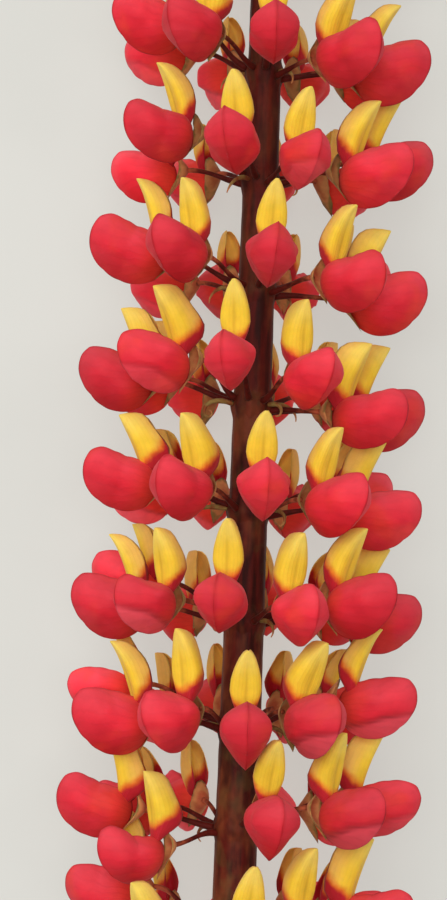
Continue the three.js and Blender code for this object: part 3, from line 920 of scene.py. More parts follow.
# %% The outlines of a wing
WING_CENTRE = (10.6, -1.9)
WING_OUTLINES = {       # side outlines, outward and upward, round from the claw over the top
    "blunt": (
        (2.2, -1.6), (2.8, 0.7), (4.4, 2.3), (7.2, 3.4), (10.6, 4.0), (13.6, 4.4), (16.2, 4.1),
        (17.6, 2.3), (17.8, -0.6), (16.6, -3.2), (14.5, -5.4), (12.0, -7.2), (9.1, -7.9), (6.2, -7.5),
        (3.9, -6.0), (2.6, -3.9)),
    "bean": (
        (2.2, -1.6), (2.8, 1.0), (4.6, 2.7), (7.4, 3.0), (10.0, 3.1), (12.6, 3.7), (15.2, 4.1),
        (17.2, 3.0), (18.1, 0.3), (17.7, -2.6), (16.2, -5.0), (13.6, -6.7), (10.2, -7.7), (6.8, -7.5),
        (4.0, -6.0), (2.6, -3.9)),
    "saddle": (
        (2.2, -1.6), (2.8, 0.6), (4.6, 1.9), (7.4, 1.9), (10.0, 2.2), (12.6, 3.8), (15.4, 4.6),
        (17.4, 3.5), (18.0, 0.6), (17.3, -2.4), (15.4, -4.9), (12.8, -6.9), (9.4, -7.9), (6.2, -7.5),
        (3.9, -6.0), (2.6, -3.9)),
    "long": (
        (2.2, -1.6), (2.8, 0.5), (5.0, 2.3), (8.2, 3.5), (11.4, 4.1), (14.5, 4.1), (17.0, 3.1),
        (17.9, 0.7), (17.2, -1.9), (15.4, -4.1), (12.7, -6.0), (9.6, -7.1), (6.5, -7.1), (4.0, -5.9),
        (2.6, -3.9)),
    "beaked": (
        (2.2, -1.4), (2.8, 0.5), (4.6, 2.0), (7.6, 3.1), (10.6, 3.7), (13.4, 3.9), (15.8, 3.2),
        (17.1, 1.4), (17.2, -1.2), (16.2, -3.9), (14.4, -6.4), (12.2, -8.6), (9.9, -9.6), (7.2, -8.8),
        (4.3, -6.6), (2.6, -4.1)),
}
print(len(WING_OUTLINES), "wing outlines:", ", ".join(WING_OUTLINES))

# %% The swelling of a wing
WING_RUN = (2.4, 17.5)          # where the pouch starts and ends, outward
WING_HALF_WIDTH = 4.7
WING_BELLY = 0.965              # the pressed rim starts at this share of the way out
# How squarely the side swells, by the direction from the centre in degrees: like a roof along the
# lower edge, fuller at the nose and toward the claw.
WING_SLOPES = ((-180, 4.5), (-130, 2.6), (-90, 1.9), (-40, 2.2), (0, 2.7), (50, 2.5), (90, 2.7),
               (130, 4.0), (180, 4.5))
WING_TOP = 0.2                  # how much fuller the upper half swells
WING_SEAM = 0.01                # half the gap between the two pressed rims
WING_FOLD = {"height": -0.3, "slope": 0.2, "width": 0.06, "groove": 0.9, "tuck": 1.9}
WING_VEIN_ROOT = (-2.0, -1.8)   # the veins fan out from here
WING_STEPS = 23
PETAL_THICKNESS = 0.3
print("a pouch swells", WING_HALF_WIDTH, "mm to each side")

# %% Wing shapes
def smooth_outline(points, centre, blur=6):
    """The outline as a smooth radius for each direction, read by angle."""
    across, up = (np.array(points) - centre).T
    degrees = np.arange(-180, 180)
    ring = np.interp(np.radians(degrees), np.arctan2(up, across), np.hypot(across, up), period=2 * np.pi)
    weights = np.hanning(2 * blur + 1)
    ring = np.convolve(np.concatenate((ring[-blur:], ring, ring[:blur])), weights / weights.sum(), "valid")
    return lambda angle: np.interp(angle, np.radians(degrees), ring, period=2 * np.pi)


def wing_shape(outline, dent, phase, swell, fold):
    """One pouch. dent is how deep its soft dents are, fold how far its lower edge is tucked in."""
    outline = smooth_outline(WING_OUTLINES[outline], WING_CENTRE)

    def disc(up, across):
        x, z = across * np.sqrt(1 - up**2 / 2), up * np.sqrt(1 - across**2 / 2)
        return x, z, np.hypot(x, z), np.arctan2(z, x)

    def crease_and_flap(x, z):
        below = (z - WING_FOLD["height"] - WING_FOLD["slope"] * x) / WING_FOLD["width"]
        return np.exp(-(below**2)), 1 / (1 + np.exp(2 * below))

    def surface(up, across):
        x, z, reach, turn = disc(up, across)
        power = np.interp(np.degrees(turn), *np.array(WING_SLOPES).T)
        bulge = np.clip(1 - (reach / WING_BELLY) ** power, 0, 1)
        inner = 1 - np.clip(reach, 0, 1) ** 2
        side = WING_HALF_WIDTH * swell * bulge * (1 + WING_TOP * z * inner)
        side = side + dent * bulge * np.sin(2 * turn + phase) * np.sin(np.pi * reach) ** 2
        crease, flap = crease_and_flap(x, z)
        tucked = WING_FOLD["groove"] * crease + WING_FOLD["tuck"] * flap
        side = side - fold * tucked * np.sqrt(inner) * bulge**0.5
        return np.stack((WING_CENTRE[0] + outline(turn) * x, WING_SEAM + np.maximum(side, 0),
                         WING_CENTRE[1] + outline(turn) * z), axis=-1)

    def values(up, across, points):
        x, z, reach, _ = disc(up, across)
        crease, flap = crease_and_flap(x, z)
        outward, upward = points[..., 0], points[..., 2]
        fan = np.arctan2(upward - WING_VEIN_ROOT[1], outward - WING_VEIN_ROOT[0])
        # "crease" marks where the wing's finish paints a shadow along the crease.
        return {"rim": reach, "along": (outward - WING_RUN[0]) / (WING_RUN[1] - WING_RUN[0]),
                "up": (z + 1) / 2, "vein": fan / np.pi, "flap": fold * flap, "crease": fold * crease}

    def thickness(up, across):
        return np.full(up.shape, PETAL_THICKNESS)

    steps = toward_edges(WING_STEPS, crowding=0.5)
    wing = two_skins(surface, steps, steps, thickness, values)
    return side_by_side(wing, mirrored(wing))


wings_shelf = shape_shelf("wings", [
    wing_shape("blunt", dent=0.50, phase=0.4, swell=1.00, fold=0.0),
    wing_shape("bean", dent=0.45, phase=2.1, swell=0.97, fold=0.1),
    wing_shape("long", dent=0.55, phase=3.7, swell=0.97, fold=0.5),
    wing_shape("blunt", dent=0.45, phase=5.2, swell=0.94, fold=0.9),
    wing_shape("bean", dent=0.55, phase=4.4, swell=1.00, fold=0.9),
    wing_shape("beaked", dent=0.40, phase=1.2, swell=1.00, fold=0.0),
    wing_shape("blunt", dent=0.60, phase=3.0, swell=0.97, fold=0.15),
    wing_shape("saddle", dent=0.45, phase=2.1, swell=0.97, fold=0.0)])

# %% [markdown]
# ## The banner
#
# The banner is nearly round if it is laid flat, but on the flower its sides are folded sharply
# back, so from the front it looks like a narrow pointed blade with a groove. It could be bent by
# a modifier, but the fold is the whole look of it, so it is the rule: across the petal the
# surface turns by the angle `FOLD` to each side, and it follows a spine that leans out.

# %% Banner shapes
BANNER_SPINE = ((5.2, -0.9), (5.7, 7.0), (9.4, 14.4))
BANNER_HALF_WIDTHS = ((0, 1.0), (0.15, 1.5), (0.3, 2.45), (0.44, 3.05), (0.6, 2.85), (0.76, 2.2),
                      (0.92, 1.25), (1, 0.12))
BANNER_DEPTHS = ((0, 0.5), (0.15, 2.1), (0.3, 4.2), (0.45, 5.0), (0.6, 5.0), (0.75, 4.8), (0.88, 4.4),
                 (0.95, 3.7), (0.985, 2.4), (1, 0.2))
FOLD = math.radians(140)
FOLD_RISE = 0.3         # how much the folded sides rise with the lean of the spine, from 0 to 1
GROOVE = {"depth": 0.3, "width": 0.1, "start": 0.15, "length": 0.8}
EDGE_WAVES = {"back": 9, "side": 7, "side_share": 0.6}      # waves along the folded edges
EDGE_THINNING = 0.4
HOOK_START = 0.75       # the tip starts to curl back here
BANNER_ROWS = (0, *np.linspace(0.03, 0.94, 14), 0.97, 0.99, 1)
BANNER_COLUMNS = 25


def banner_shape(narrow, deep, bend, wave, phase, hook, fold_power):
    """One banner. deep is how far its sides reach back, bend curves it to one side, hook curls
    its tip back, and a higher fold_power keeps its face flatter before the sides turn back."""
    half_width, depth = smooth_profile(BANNER_HALF_WIDTHS), smooth_profile(BANNER_DEPTHS, blur=0.03)
    base, knee, tip = (np.array(p) for p in BANNER_SPINE)

    def surface(along, across):
        u = along[..., None]
        spine = (1 - u) ** 2 * base + 2 * u * (1 - u) * knee + u**2 * tip
        run = 2 * (1 - u) * (knee - base) + 2 * u * (tip - knee)
        run /= np.linalg.norm(run, axis=-1, keepdims=True)
        turn = FOLD * across
        behind = deep * depth(along) * ((1 - np.cos(turn)) / (1 - np.cos(FOLD))) ** fold_power
        middle = np.sin(np.pi * np.clip((along - GROOVE["start"]) / GROOVE["length"], 0, 1))
        behind = behind + GROOVE["depth"] * middle * np.exp(-((across / GROOVE["width"]) ** 2))
        edge = np.abs(across) ** 3
        behind = behind + wave * edge * np.sin(EDGE_WAVES["back"] * along + phase + across)
        behind = behind + hook * np.clip((along - HOOK_START) / (1 - HOOK_START), 0, 1) ** 2
        side = -half_width(along) * narrow * np.sin(turn) + bend * along**2
        side_wave = np.sin(EDGE_WAVES["side"] * along + 2 * phase)
        side = side + EDGE_WAVES["side_share"] * wave * edge * side_wave
        return np.stack((spine[..., 0] - run[..., 1] * behind, side,
                         spine[..., 1] + FOLD_RISE * run[..., 0] * behind), -1)

    def values(along, across, points):
        return {"along": along, "across": across}

    def thickness(along, across):
        return PETAL_THICKNESS * (1 - EDGE_THINNING * np.abs(across) ** 4)

    columns = toward_edges(BANNER_COLUMNS, crowding=0.25)
    return two_skins(surface, BANNER_ROWS, columns, thickness, values)


banner_shelf = shape_shelf("banners", [
    banner_shape(narrow=1.00, deep=0.95, bend=0.2, wave=0.25, phase=0.5, hook=0.0, fold_power=1.9),
    banner_shape(narrow=0.92, deep=0.85, bend=-0.4, wave=0.35, phase=2.4, hook=-0.4, fold_power=2.2),
    banner_shape(narrow=1.06, deep=1.05, bend=0.5, wave=0.30, phase=4.0, hook=0.5, fold_power=1.7),
    banner_shape(narrow=1.04, deep=1.25, bend=-0.1, wave=0.40, phase=5.5, hook=0.3, fold_power=1.5)])

# %% [markdown]
# ## The calyx
#
# The calyx is a small cup with two lips. The upper lip is short and stands behind the banner.
# The lower lip is long and pointed, and follows the underside of the pouch. The rule reads three
# outlines, for the top, the sides and the bottom of the cup, and blends them round it, while the
# rim's own length grows into the two lips.

# %% Calyx shapes
CALYX_TOP = ((-0.3, 0.3), (0.3, 1.2), (1.1, 2.0), (2.0, 3.1), (2.8, 4.2))       # outward, away
CALYX_SIDE = ((-0.3, 0.3), (0.3, 1.3), (1.1, 1.8), (1.9, 2.0), (2.6, 2.15))
CALYX_BOTTOM = ((-0.3, 0.3), (0.4, 1.4), (1.5, 2.6), (2.7, 4.1), (4.1, 6.1))
CALYX_SPREAD = {"top": 0.75, "bottom": 0.85, "point": 0.3}      # how wide each is, in radians
CALYX_RIM = {"sides": 0.62, "top": 0.3, "bottom": 0.1, "teeth": 0.02, "tooth_count": 11}
LIP_RUN = (3.0, 6.5)            # where a lip goes on past its outline, outward and away
FLARE_START = 0.7
CALYX_THICKNESS = 0.28
CALYX_STEPS = (20, 9)           # round the cup and up it


def calyx_shape(lip, flare, phase):
    """One calyx. lip is how long its lower lip is, flare how far that stands off the pouch."""
    def surface(turn, along):
        top = near(turn, 0, CALYX_SPREAD["top"]) + near(turn, 2 * np.pi, CALYX_SPREAD["top"])
        bottom = near(turn, np.pi, CALYX_SPREAD["bottom"])
        point = near(turn, np.pi, CALYX_SPREAD["point"])
        rim = CALYX_RIM["sides"] + CALYX_RIM["top"] * top + CALYX_RIM["bottom"] * bottom + lip * point
        length = along * (rim + CALYX_RIM["teeth"] * np.sin(CALYX_RIM["tooth_count"] * turn + phase))
        x, out = 0, 0
        for outline, share in ((CALYX_TOP, top), (CALYX_BOTTOM, bottom), (CALYX_SIDE, 1 - top - bottom)):
            places, radii = np.array(outline).T
            spots = np.linspace(0, 1, len(outline))
            x = x + share * np.interp(length, spots, places)
            out = out + share * np.interp(length, spots, radii)
        over = np.clip(length - 1, 0, None)
        out = out + over * LIP_RUN[1] + flare * bottom * np.clip(length - FLARE_START, 0, None)
        return np.stack((x + over * LIP_RUN[0], -out * np.sin(turn), out * np.cos(turn)), -1)

    def values(turn, along, points):
        return {"along": along}

    def thickness(turn, along):
        return CALYX_THICKNESS * (1 - 0.5 * along)

    rows, columns = round_steps(CALYX_STEPS[0]), np.linspace(0, 1, CALYX_STEPS[1])
    return two_skins(surface, rows, columns, thickness, values, wraps=True)


calyx_shelf = shape_shelf("calyces", [
    calyx_shape(lip=0.32, flare=0.0, phase=0.3),
    calyx_shape(lip=0.40, flare=0.9, phase=1.9),
    calyx_shape(lip=0.26, flare=-0.2, phase=3.3)])

# %% [markdown]
# ## Buds
#
# A closed bud is a folded banner wrapped round the rest: a plump drop with a ridge along its
# back, held in a calyx that reaches more than half way up. Both are made at unit size, one long
# and one thick, and the node tree stretches them to each ring's sizes.

# %% Bud shapes
BUD_OUTLINE = ((0, 0.0), (0.08, 0.3), (0.25, 0.46), (0.5, 0.5), (0.75, 0.38), (0.92, 0.16), (1, 0))
BUD_CUP_OUTLINE = ((0, 0.02), (0.08, 0.33), (0.25, 0.5), (0.5, 0.54), (0.75, 0.42), (1, 0.1))
BUD = {"width": 0.84, "foot": 0.1, "ridge": 0.16, "ridge_width": 0.35}
BUD_CUP = {"below": 0.03, "outside": 0.01, "thickness": 0.03, "sides": 0.5, "first_row": 0.02}
BUD_STEPS = (16, 12)            # round the bud and along it
BUD_CUP_ROWS = 8


def bud_shape(hook):
    outline = smooth_profile(BUD_OUTLINE)

    def surface(turn, along):
        radius = outline(along) * (1 + BUD["ridge"] * near(turn, np.pi, BUD["ridge_width"]))
        radius[:, 0] = radius[:, -1] = 0
        return np.stack((along - BUD["foot"], radius * BUD["width"] * np.sin(turn),
                         -radius * np.cos(turn) + hook * along**3), -1)

    def values(turn, along, points):
        return {"along": along, "up": (1 - np.cos(turn)) / 2}

    return solid_round(surface, round_steps(BUD_STEPS[0]), np.linspace(0, 1, BUD_STEPS[1]), values)


def bud_calyx_shape(reach):
    outline = smooth_profile(BUD_CUP_OUTLINE)

    def surface(turn, along):
        lips = BUD_CUP["sides"] + (1 - BUD_CUP["sides"]) * np.cos(turn) ** 2
        length = along * reach * lips
        radius = outline(length) + BUD_CUP["outside"]
        return np.stack((length - BUD["foot"] - BUD_CUP["below"], radius * BUD["width"] * np.sin(turn),
                         -radius * np.cos(turn)), -1)

    def values(turn, along, points):
        return {"along": along}

    def thickness(turn, along):
        return np.full(along.shape, BUD_CUP["thickness"])

    columns = np.linspace(BUD_CUP["first_row"], 1, BUD_CUP_ROWS)
    return two_skins(surface, round_steps(BUD_STEPS[0]), columns, thickness, values, wraps=True)


bud_shelf = shape_shelf("buds", [bud_shape(0.02), bud_shape(0.08)])
bud_calyx_shelf = shape_shelf("bud_cups", [bud_calyx_shape(0.72), bud_calyx_shape(0.85)])

# %% [markdown]
# ## Setting petals out on the spike
#
# There are more than a hundred florets, so nobody places petals one by one. A small mesh holds
# one point for each floret, and each point carries its turn, its size, which variant it takes,
# its tint and its patch of the map. The node tree puts a petal on each point, turns the copies
# into real faces, moves each copy's map into its own patch and gives them their finish.

# %% The tree that sets petals out
def stored(tree, name, kind="FLOAT"):
    """Reads a named value inside a geometry tree."""
    return tree.add("GeometryNodeInputNamedAttribute", {"Name": name}, data_type=kind)


def store_on(tree, geometry, name, value, kind, domain):
    """Stores a named value on the geometry inside a tree."""
    node = tree.add("GeometryNodeStoreNamedAttribute", {"Geometry": geometry, "Name": name},
                    data_type=kind, domain=domain)
    tree.plug(next(s for s in node.inputs if s.name == "Value" and s.enabled), value)
    return node


def into_patch(tree, given, geometry, spot):
    """Moves the map of each copy into that copy's own patch."""
    spot = tree.vector("ADD", spot, stored(tree, "patch", "FLOAT_VECTOR"))
    spot = tree.scaled(spot, tree.calc("DIVIDE", 1.0, given["Patches Across"]))
    return store_on(tree, geometry, MAP_NAME, spot, "FLOAT2", "CORNER")


def give_out(tree, given, out, geometry):
    """Ends a tree: its geometry leaves with the finish that was given."""
    finished = tree.add("GeometryNodeSetMaterial", {"Geometry": geometry, "Material": given["Finish"]})
    tree.plug(out.inputs["Geometry"], finished)
    return tree.tree


def set_out_tree():
    tree, given, out = new_group(
        "Set Out Petals", "GeometryNodeTree",
        {"Places": ("NodeSocketGeometry", None), "Petals": ("NodeSocketCollection", None),
         "Patches Across": (FLOAT, 4.0), "Finish": ("NodeSocketMaterial", None)},
        {"Geometry": "NodeSocketGeometry"})
    petals = tree.add("GeometryNodeCollectionInfo", {
        "Collection": given["Petals"], "Separate Children": True, "Reset Children": True})
    turn = tree.add("FunctionNodeEulerToRotation", {"Euler": stored(tree, "turn", "FLOAT_VECTOR")})
    copies = tree.add("GeometryNodeInstanceOnPoints", {
        "Points": given["Places"], "Instance": petals, "Pick Instance": True,
        "Instance Index": stored(tree, "variant", "INT"), "Rotation": turn,
        "Scale": stored(tree, "size", "FLOAT_VECTOR")})
    real = tree.add("GeometryNodeRealizeInstances", {"Geometry": copies})
    return give_out(tree, given, out,
                    into_patch(tree, given, real, stored(tree, MAP_NAME, "FLOAT_VECTOR")))


SET_OUT = set_out_tree()
print(f"{SET_OUT.name}: {len(SET_OUT.nodes)} nodes")

# %% Places and patches
@dataclass
class Place:
    """One point that a petal grows on."""
    at: Vector
    axes: Matrix
    size: tuple
    variant: int
    tint: float
    age: float
    patch: int


class Patches:
    """Hands out the patches of a piece's map, so that no two petals share one."""

    def __init__(self, count):
        self.across = math.ceil(math.sqrt(count))
        self.used = 0

    def take(self, count):
        start = self.used
        self.used += count
        return range(start, start + count)

    def corner(self, patch):
        return (patch % self.across, patch // self.across, 0)


print("each place carries:", ", ".join(Place.__annotations__))

# %% Set petals out
def store(mesh, name, kind, rows):
    """Puts one value for each point on a mesh."""
    key = "vector" if kind == "FLOAT_VECTOR" else "value"
    mesh.attributes.new(name, kind, "POINT").data.foreach_set(key, np.array(rows).ravel())


def evaluated(name, mesh, tree, inputs):
    """Runs a node tree over a mesh and gives back a plain mesh object."""
    source = bpy.data.objects.new(name, mesh)
    bpy.context.scene.collection.objects.link(source)
    modifier = source.modifiers.new(tree.name, "NODES")
    modifier.node_group = tree
    sockets = {item.name: item.identifier for item in tree.interface.items_tree if item.in_out == "INPUT"}
    for title, value in inputs.items():
        modifier[sockets[title]] = value
    graph = bpy.context.evaluated_depsgraph_get()
    result = bpy.data.meshes.new_from_object(source.evaluated_get(graph), preserve_all_data_layers=True,
                                             depsgraph=graph)
    source.modifiers.clear()
    source.data = result
    return source


def set_out(name, places, shelf, finish, patches):
    """A petal of the shelf on each place, as one object."""
    mesh = bpy.data.meshes.new(name + "_places")
    mesh.from_pydata([place.at * MM for place in places], [], [])
    store(mesh, "turn", "FLOAT_VECTOR", [place.axes.to_euler() for place in places])
    store(mesh, "size", "FLOAT_VECTOR", [place.size for place in places])
    store(mesh, "variant", "INT", [place.variant for place in places])
    store(mesh, "patch", "FLOAT_VECTOR", [patches.corner(place.patch) for place in places])
    store(mesh, "tint", "FLOAT", [place.tint for place in places])
    store(mesh, "age", "FLOAT", [place.age for place in places])
    return evaluated(name, mesh, SET_OUT, {
        "Petals": shelf, "Patches Across": float(patches.across), "Finish": FINISH[finish]})


print("ready: set_out, for petals, cups and buds")

# %% [markdown]
# ## Growing stalks, bracts and the stem
#
# All of these follow a path: a stalk from the stem to its cup, a bract in a curl, the stem from
# its cut end to the tip. A path is a row of points that carry their own thickness. The node tree
# sweeps a circle along it, raises ribs and lumps on the skin, and closes the seam. The circle is
# an arc of a full turn, not a closed circle, so that the map has a clean edge at the seam.

# %% The tree that sweeps a path
SEAM_GAP = 0.004 * MM             # points nearer than this are merged, which closes the seam


def sweep_tree():
    tree, given, out = new_group(
        "Sweep Path", "GeometryNodeTree",
        {"Paths": ("NodeSocketGeometry", None), "Sides": ("NodeSocketInt", 8), "Ribs": (FLOAT, 0.0),
         "Rib Height": (FLOAT, 0.0), "Lumps": (FLOAT, 0.0), "Lump Size": (FLOAT, 2.0 * MM),
         "Patches Across": (FLOAT, 4.0), "Finish": ("NodeSocketMaterial", None)},
        {"Geometry": "NodeSocketGeometry"})
    paths = tree.add("GeometryNodeMeshToCurve", {"Mesh": given["Paths"]})
    arc = tree.add("GeometryNodeCurveArc", {
        "Resolution": tree.calc("ADD", given["Sides"], 1.0), "Radius": 1.0,
        "Sweep Angle": 2 * math.pi, "Start Angle": 0.0})
    factor = tree.add("GeometryNodeSplineParameter").outputs["Factor"]
    circle = store_on(tree, arc, "around", factor, "FLOAT", "POINT")
    swept = tree.add("GeometryNodeCurveToMesh", {
        "Curve": paths, "Profile Curve": circle, "Scale": stored(tree, "thick")})
    spot = tree.add("ShaderNodeCombineXYZ", {0: stored(tree, "around"), 1: stored(tree, "along")})
    spot = tree.vector("MULTIPLY_ADD", spot, (1 - 2 * MAP_MARGIN,) * 3, (MAP_MARGIN,) * 3)
    mapped = into_patch(tree, given, swept, spot)
    closed = tree.add("GeometryNodeMergeByDistance", {"Geometry": mapped, "Distance": SEAM_GAP})
    turns = tree.calc("MULTIPLY", stored(tree, "around"), given["Ribs"])
    wave = tree.calc("SINE", tree.calc("MULTIPLY", turns, 2 * math.pi))
    noise = tree.add("ShaderNodeTexNoise", {
        "Scale": tree.calc("DIVIDE", 1.0, given["Lump Size"]), "Detail": 2.0})
    height = tree.calc("ADD", tree.calc("MULTIPLY", wave, given["Rib Height"]),
                       tree.calc("MULTIPLY", tree.calc("SUBTRACT", noise, 0.5), given["Lumps"]))
    height = tree.calc("MULTIPLY", height, stored(tree, "skin"))
    raised = tree.scaled(tree.add("GeometryNodeInputNormal"), height)
    shaped = tree.add("GeometryNodeSetPosition", {"Geometry": closed, "Offset": raised})
    smooth = tree.add("GeometryNodeSetShadeSmooth", {"Geometry": shaped, "Shade Smooth": True})
    return give_out(tree, given, out, tree.add("GeometryNodeRealizeInstances", {"Geometry": smooth}))


SWEEP = sweep_tree()
print(f"{SWEEP.name}: {len(SWEEP.nodes)} nodes")

# %% Sweep paths
END_SHARE = 0.3       # a point thinner than this share of its path is part of a closed end


@dataclass
class Path:
    """A path in spike terms: its points, its thickness at each, and its own patch of the map."""
    points: np.ndarray
    thick: np.ndarray
    patch: int
    tint: float = 0.0
    age: float = 0.0
    pith: np.ndarray = 0.0


def sweep(name, paths, finish, patches, **inputs):
    """Sweeps every path and gives one object. Its other inputs are the tree's, by name."""
    mesh = bpy.data.meshes.new(name + "_paths")
    edges, corners, start = [], [], 0
    for path in paths:
        count = len(path.points)
        edges += [(start + i, start + i + 1) for i in range(count - 1)]
        corners += [patches.corner(path.patch)] * count
        start += count
    mesh.from_pydata((np.concatenate([path.points for path in paths]) * MM).tolist(), edges, [])
    store(mesh, "patch", "FLOAT_VECTOR", np.array(corners, float))
    for title, value_of in (
            ("thick", lambda path: path.thick * MM),
            ("skin", lambda path: (path.thick > END_SHARE * path.thick.max()) * 1.0),
            ("along", lambda path: np.linspace(0, 1, len(path.points))),
            ("tint", lambda path: path.tint), ("age", lambda path: path.age),
            ("pith", lambda path: path.pith)):
        rows = [np.broadcast_to(value_of(path), len(path.points)) for path in paths]
        store(mesh, title, "FLOAT", np.concatenate(rows))
    named = {title.replace("_", " ").title(): value for title, value in inputs.items()}
    return evaluated(name, mesh, SWEEP, {
        "Patches Across": float(patches.across), "Finish": FINISH[finish], **named})


def closed_ends(points, thick, step=0.02):
    """Adds a point of no thickness just outside each end, which closes the swept skin."""
    first = points[0] - (points[1] - points[0]) * step
    last = points[-1] + (points[-1] - points[-2]) * step
    return np.vstack((first, points, last)), np.concatenate(([0], thick, [0]))


print("each path carries:", ", ".join(Path.__annotations__))

# %% [markdown]
# ## Finishing a piece
#
# The parts of a piece are joined into one mesh, laid down by the settling rule, and cleared of
# the values that only the node trees needed. Then the piece is tied to the body it moves with,
# and the settled nodes that it stands for are hidden.

# %% Join, settle and tie to the model
WORKING_VALUES = ("turn", "size", "variant", "patch", "thick", "skin", "around")


def points_of(mesh):
    points = np.empty(len(mesh.vertices) * 3, np.float32)
    mesh.vertices.foreach_get("co", points)
    return points.reshape(-1, 3)


def report_fit(piece, nodes):
    """Prints how far the piece reaches past the settled nodes that it stands for."""
    boxes = np.array([[list(corner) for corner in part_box(node)] for node in nodes])
    low, high = boxes[:, 0].min(0), boxes[:, 1].max(0)
    points = points_of(piece.data)
    past = np.maximum(low - points.min(0), points.max(0) - high).max() / MM
    piece.data.calc_loop_triangles()
    triangles = len(piece.data.loop_triangles)
    print(f"{piece.name}: {triangles} triangles, reaches {past:+.1f} mm past its nodes")


def finish_piece(name, parts, nodes):
    piece = parts[0]
    if len(parts) > 1:
        with bpy.context.temp_override(active_object=piece, selected_editable_objects=parts,
                                       selected_objects=parts, object=piece):
            bpy.ops.object.join()
    piece.name = piece.data.name = name
    mesh = piece.data
    laid_down = settle(points_of(mesh) / MM) * MM
    mesh.vertices.foreach_set("co", laid_down.astype(np.float32).ravel())
    for title in WORKING_VALUES:
        if title in mesh.attributes:
            mesh.attributes.remove(mesh.attributes[title])
    mesh.update()
    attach(piece, "root")
    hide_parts(*nodes)
    report_fit(piece, nodes)


print("cleared before a piece is tied:", ", ".join(WORKING_VALUES))

# %% [markdown]
# ## Florets
#
# For each whorl, the florets that face up or sideways give two layers of petals, wings and
# banners, as one piece. The whorl's own piece holds all its stalks and cups, the swollen ring
# that they grow from, and the whole florets of the underside.

# %% Places for petals
OWN_TURN = {"wings": 6, "banner": 4, "calyx": 8}    # how far each may turn on its own axis, in degrees
VARIANTS = {"wings": 5, "banner": 4, "calyx": 3}    # how many of each shelf are drawn by chance
PETALS = (("wings", wings_shelf, "wing"), ("banner", banner_shelf, "banner"))
SEED = 31
rng = np.random.default_rng(SEED)


def spread(low=-1.0, high=1.0):
    """The next number drawn by chance, the same ones each time the script runs."""
    return float(rng.uniform(low, high))


def petal_places(florets, part, patches):
    """The places of one part of the florets. The banner follows its lean, the rest the pitch."""
    made = []
    for floret, patch in zip(florets, patches.take(len(florets))):
        tilt = -floret.lean if part == "banner" else floret.pitch
        drawn = int(rng.integers(VARIANTS[part]))
        chosen = {"wings": floret.wings, "banner": floret.banner}.get(part)
        own_turn = Matrix.Rotation(math.radians(OWN_TURN[part] * spread()), 3, "X")
        size = floret.size * (floret.banner_size if part == "banner" else 1)
        # petals draw their tint from the floret's range, which for the underside is raised as painted
        # light
        tint = spread() if part == "calyx" else spread(*floret.tone_and_painted_light)
        made.append(Place(
            at=calyx_at(floret), axes=axes_at(floret.azimuth, tilt) @ own_turn, size=(size,) * 3,
            variant=drawn if chosen is None else chosen, tint=tint, age=floret.age, patch=patch))
    return made


def petals_of(name, florets, patches):
    """The wings and the banners of a set of florets, each as one object."""
    return [set_out(f"{name}_{part}", petal_places(florets, part, patches), shelf, finish, patches)
            for part, shelf, finish in PETALS]


print("a part may turn on its own axis by", OWN_TURN, "degrees")

# %% The paths of stalks
STALK = {"drop": 3.3, "root_spread": 0.4, "root_limit": 1.0, "sunk": 0.2, "overlap": 0.1,
         "handle": 0.35, "arch": 1.2, "foot_arch": (0.3, 1), "neck_arch": (0, 0.5),
         "sideways": (-0.5, 0.5), "steps": 11,
         "thickness": ((0, 0.8125), (0.18, 0.65), (0.5, 0.45), (0.85, 0.45), (1, 0.52))}


def stalk_path(floret, patch):
    """From the stem's skin to the neck of the calyx, in one gentle bend."""
    drift = max(-STALK["root_limit"], min(STALK["root_limit"], floret.rise * STALK["root_spread"]))
    station = floret.whorl - STALK["drop"] + drift
    out, axes = outward_at(floret.azimuth), axes_at(floret.azimuth, floret.pitch)
    start = out * (stem_radius(station) - STALK["sunk"]) + station * UPWARD
    end = calyx_at(floret) - axes.col[0] * STALK["overlap"]
    handle = STALK["handle"] * (end - start).length
    side = axes.col[1] * spread(*STALK["sideways"])
    first = start + out * handle + UPWARD * spread(*STALK["foot_arch"]) * STALK["arch"] + side
    second = end - axes.col[0] * handle + UPWARD * spread(*STALK["neck_arch"]) * STALK["arch"]
    u = np.linspace(0, 1, STALK["steps"])[:, None]
    points = ((1 - u) ** 3 * np.array(start) + 3 * u * (1 - u) ** 2 * np.array(first)
              + 3 * u**2 * (1 - u) * np.array(second) + u**3 * np.array(end))
    points, thick = closed_ends(points, np.interp(u[:, 0], *np.array(STALK["thickness"]).T))
    return Path(points, thick, patch, tint=spread(), age=floret.age)


print("stalks leave the stem", STALK["drop"], "mm below their whorl's station")

# %% The paths of rings and bracts
COLLAR = {"thickness": 0.75, "half_height": 4.2, "width": 0.5, "inside": 0.2, "steps": 17}
BRACT = {"rise": 12, "swing": 0.12, "proud": 0.1, "steps": 24,
         "thickness": ((0, 0.42), (0.25, 0.5), (0.6, 0.34), (1, 0.1))}


def stem_age(station):
    """How young the stem is here, from 0 at the cut to 1 at the tip."""
    return (station - STEM_ENDS["cut"]) / (STEM_ENDS["tip"] - STEM_ENDS["cut"])


def on_axis(stations):
    """Points along the stem's middle."""
    return np.column_stack((np.zeros_like(stations), stations, np.zeros_like(stations)))


def collar_path(station, patch):
    """The swelling of the stem: a sleeve that starts under its skin, thickest where stalks leave."""
    steps = np.linspace(-1, 1, COLLAR["steps"])
    stations = station - STALK["drop"] + steps * COLLAR["half_height"]
    swell = COLLAR["thickness"] * np.exp(-((steps / COLLAR["width"]) ** 2)) - COLLAR["inside"]
    points, thick = closed_ends(on_axis(stations), stem_radius(stations) + swell)
    return Path(points, thick, patch, age=stem_age(station))


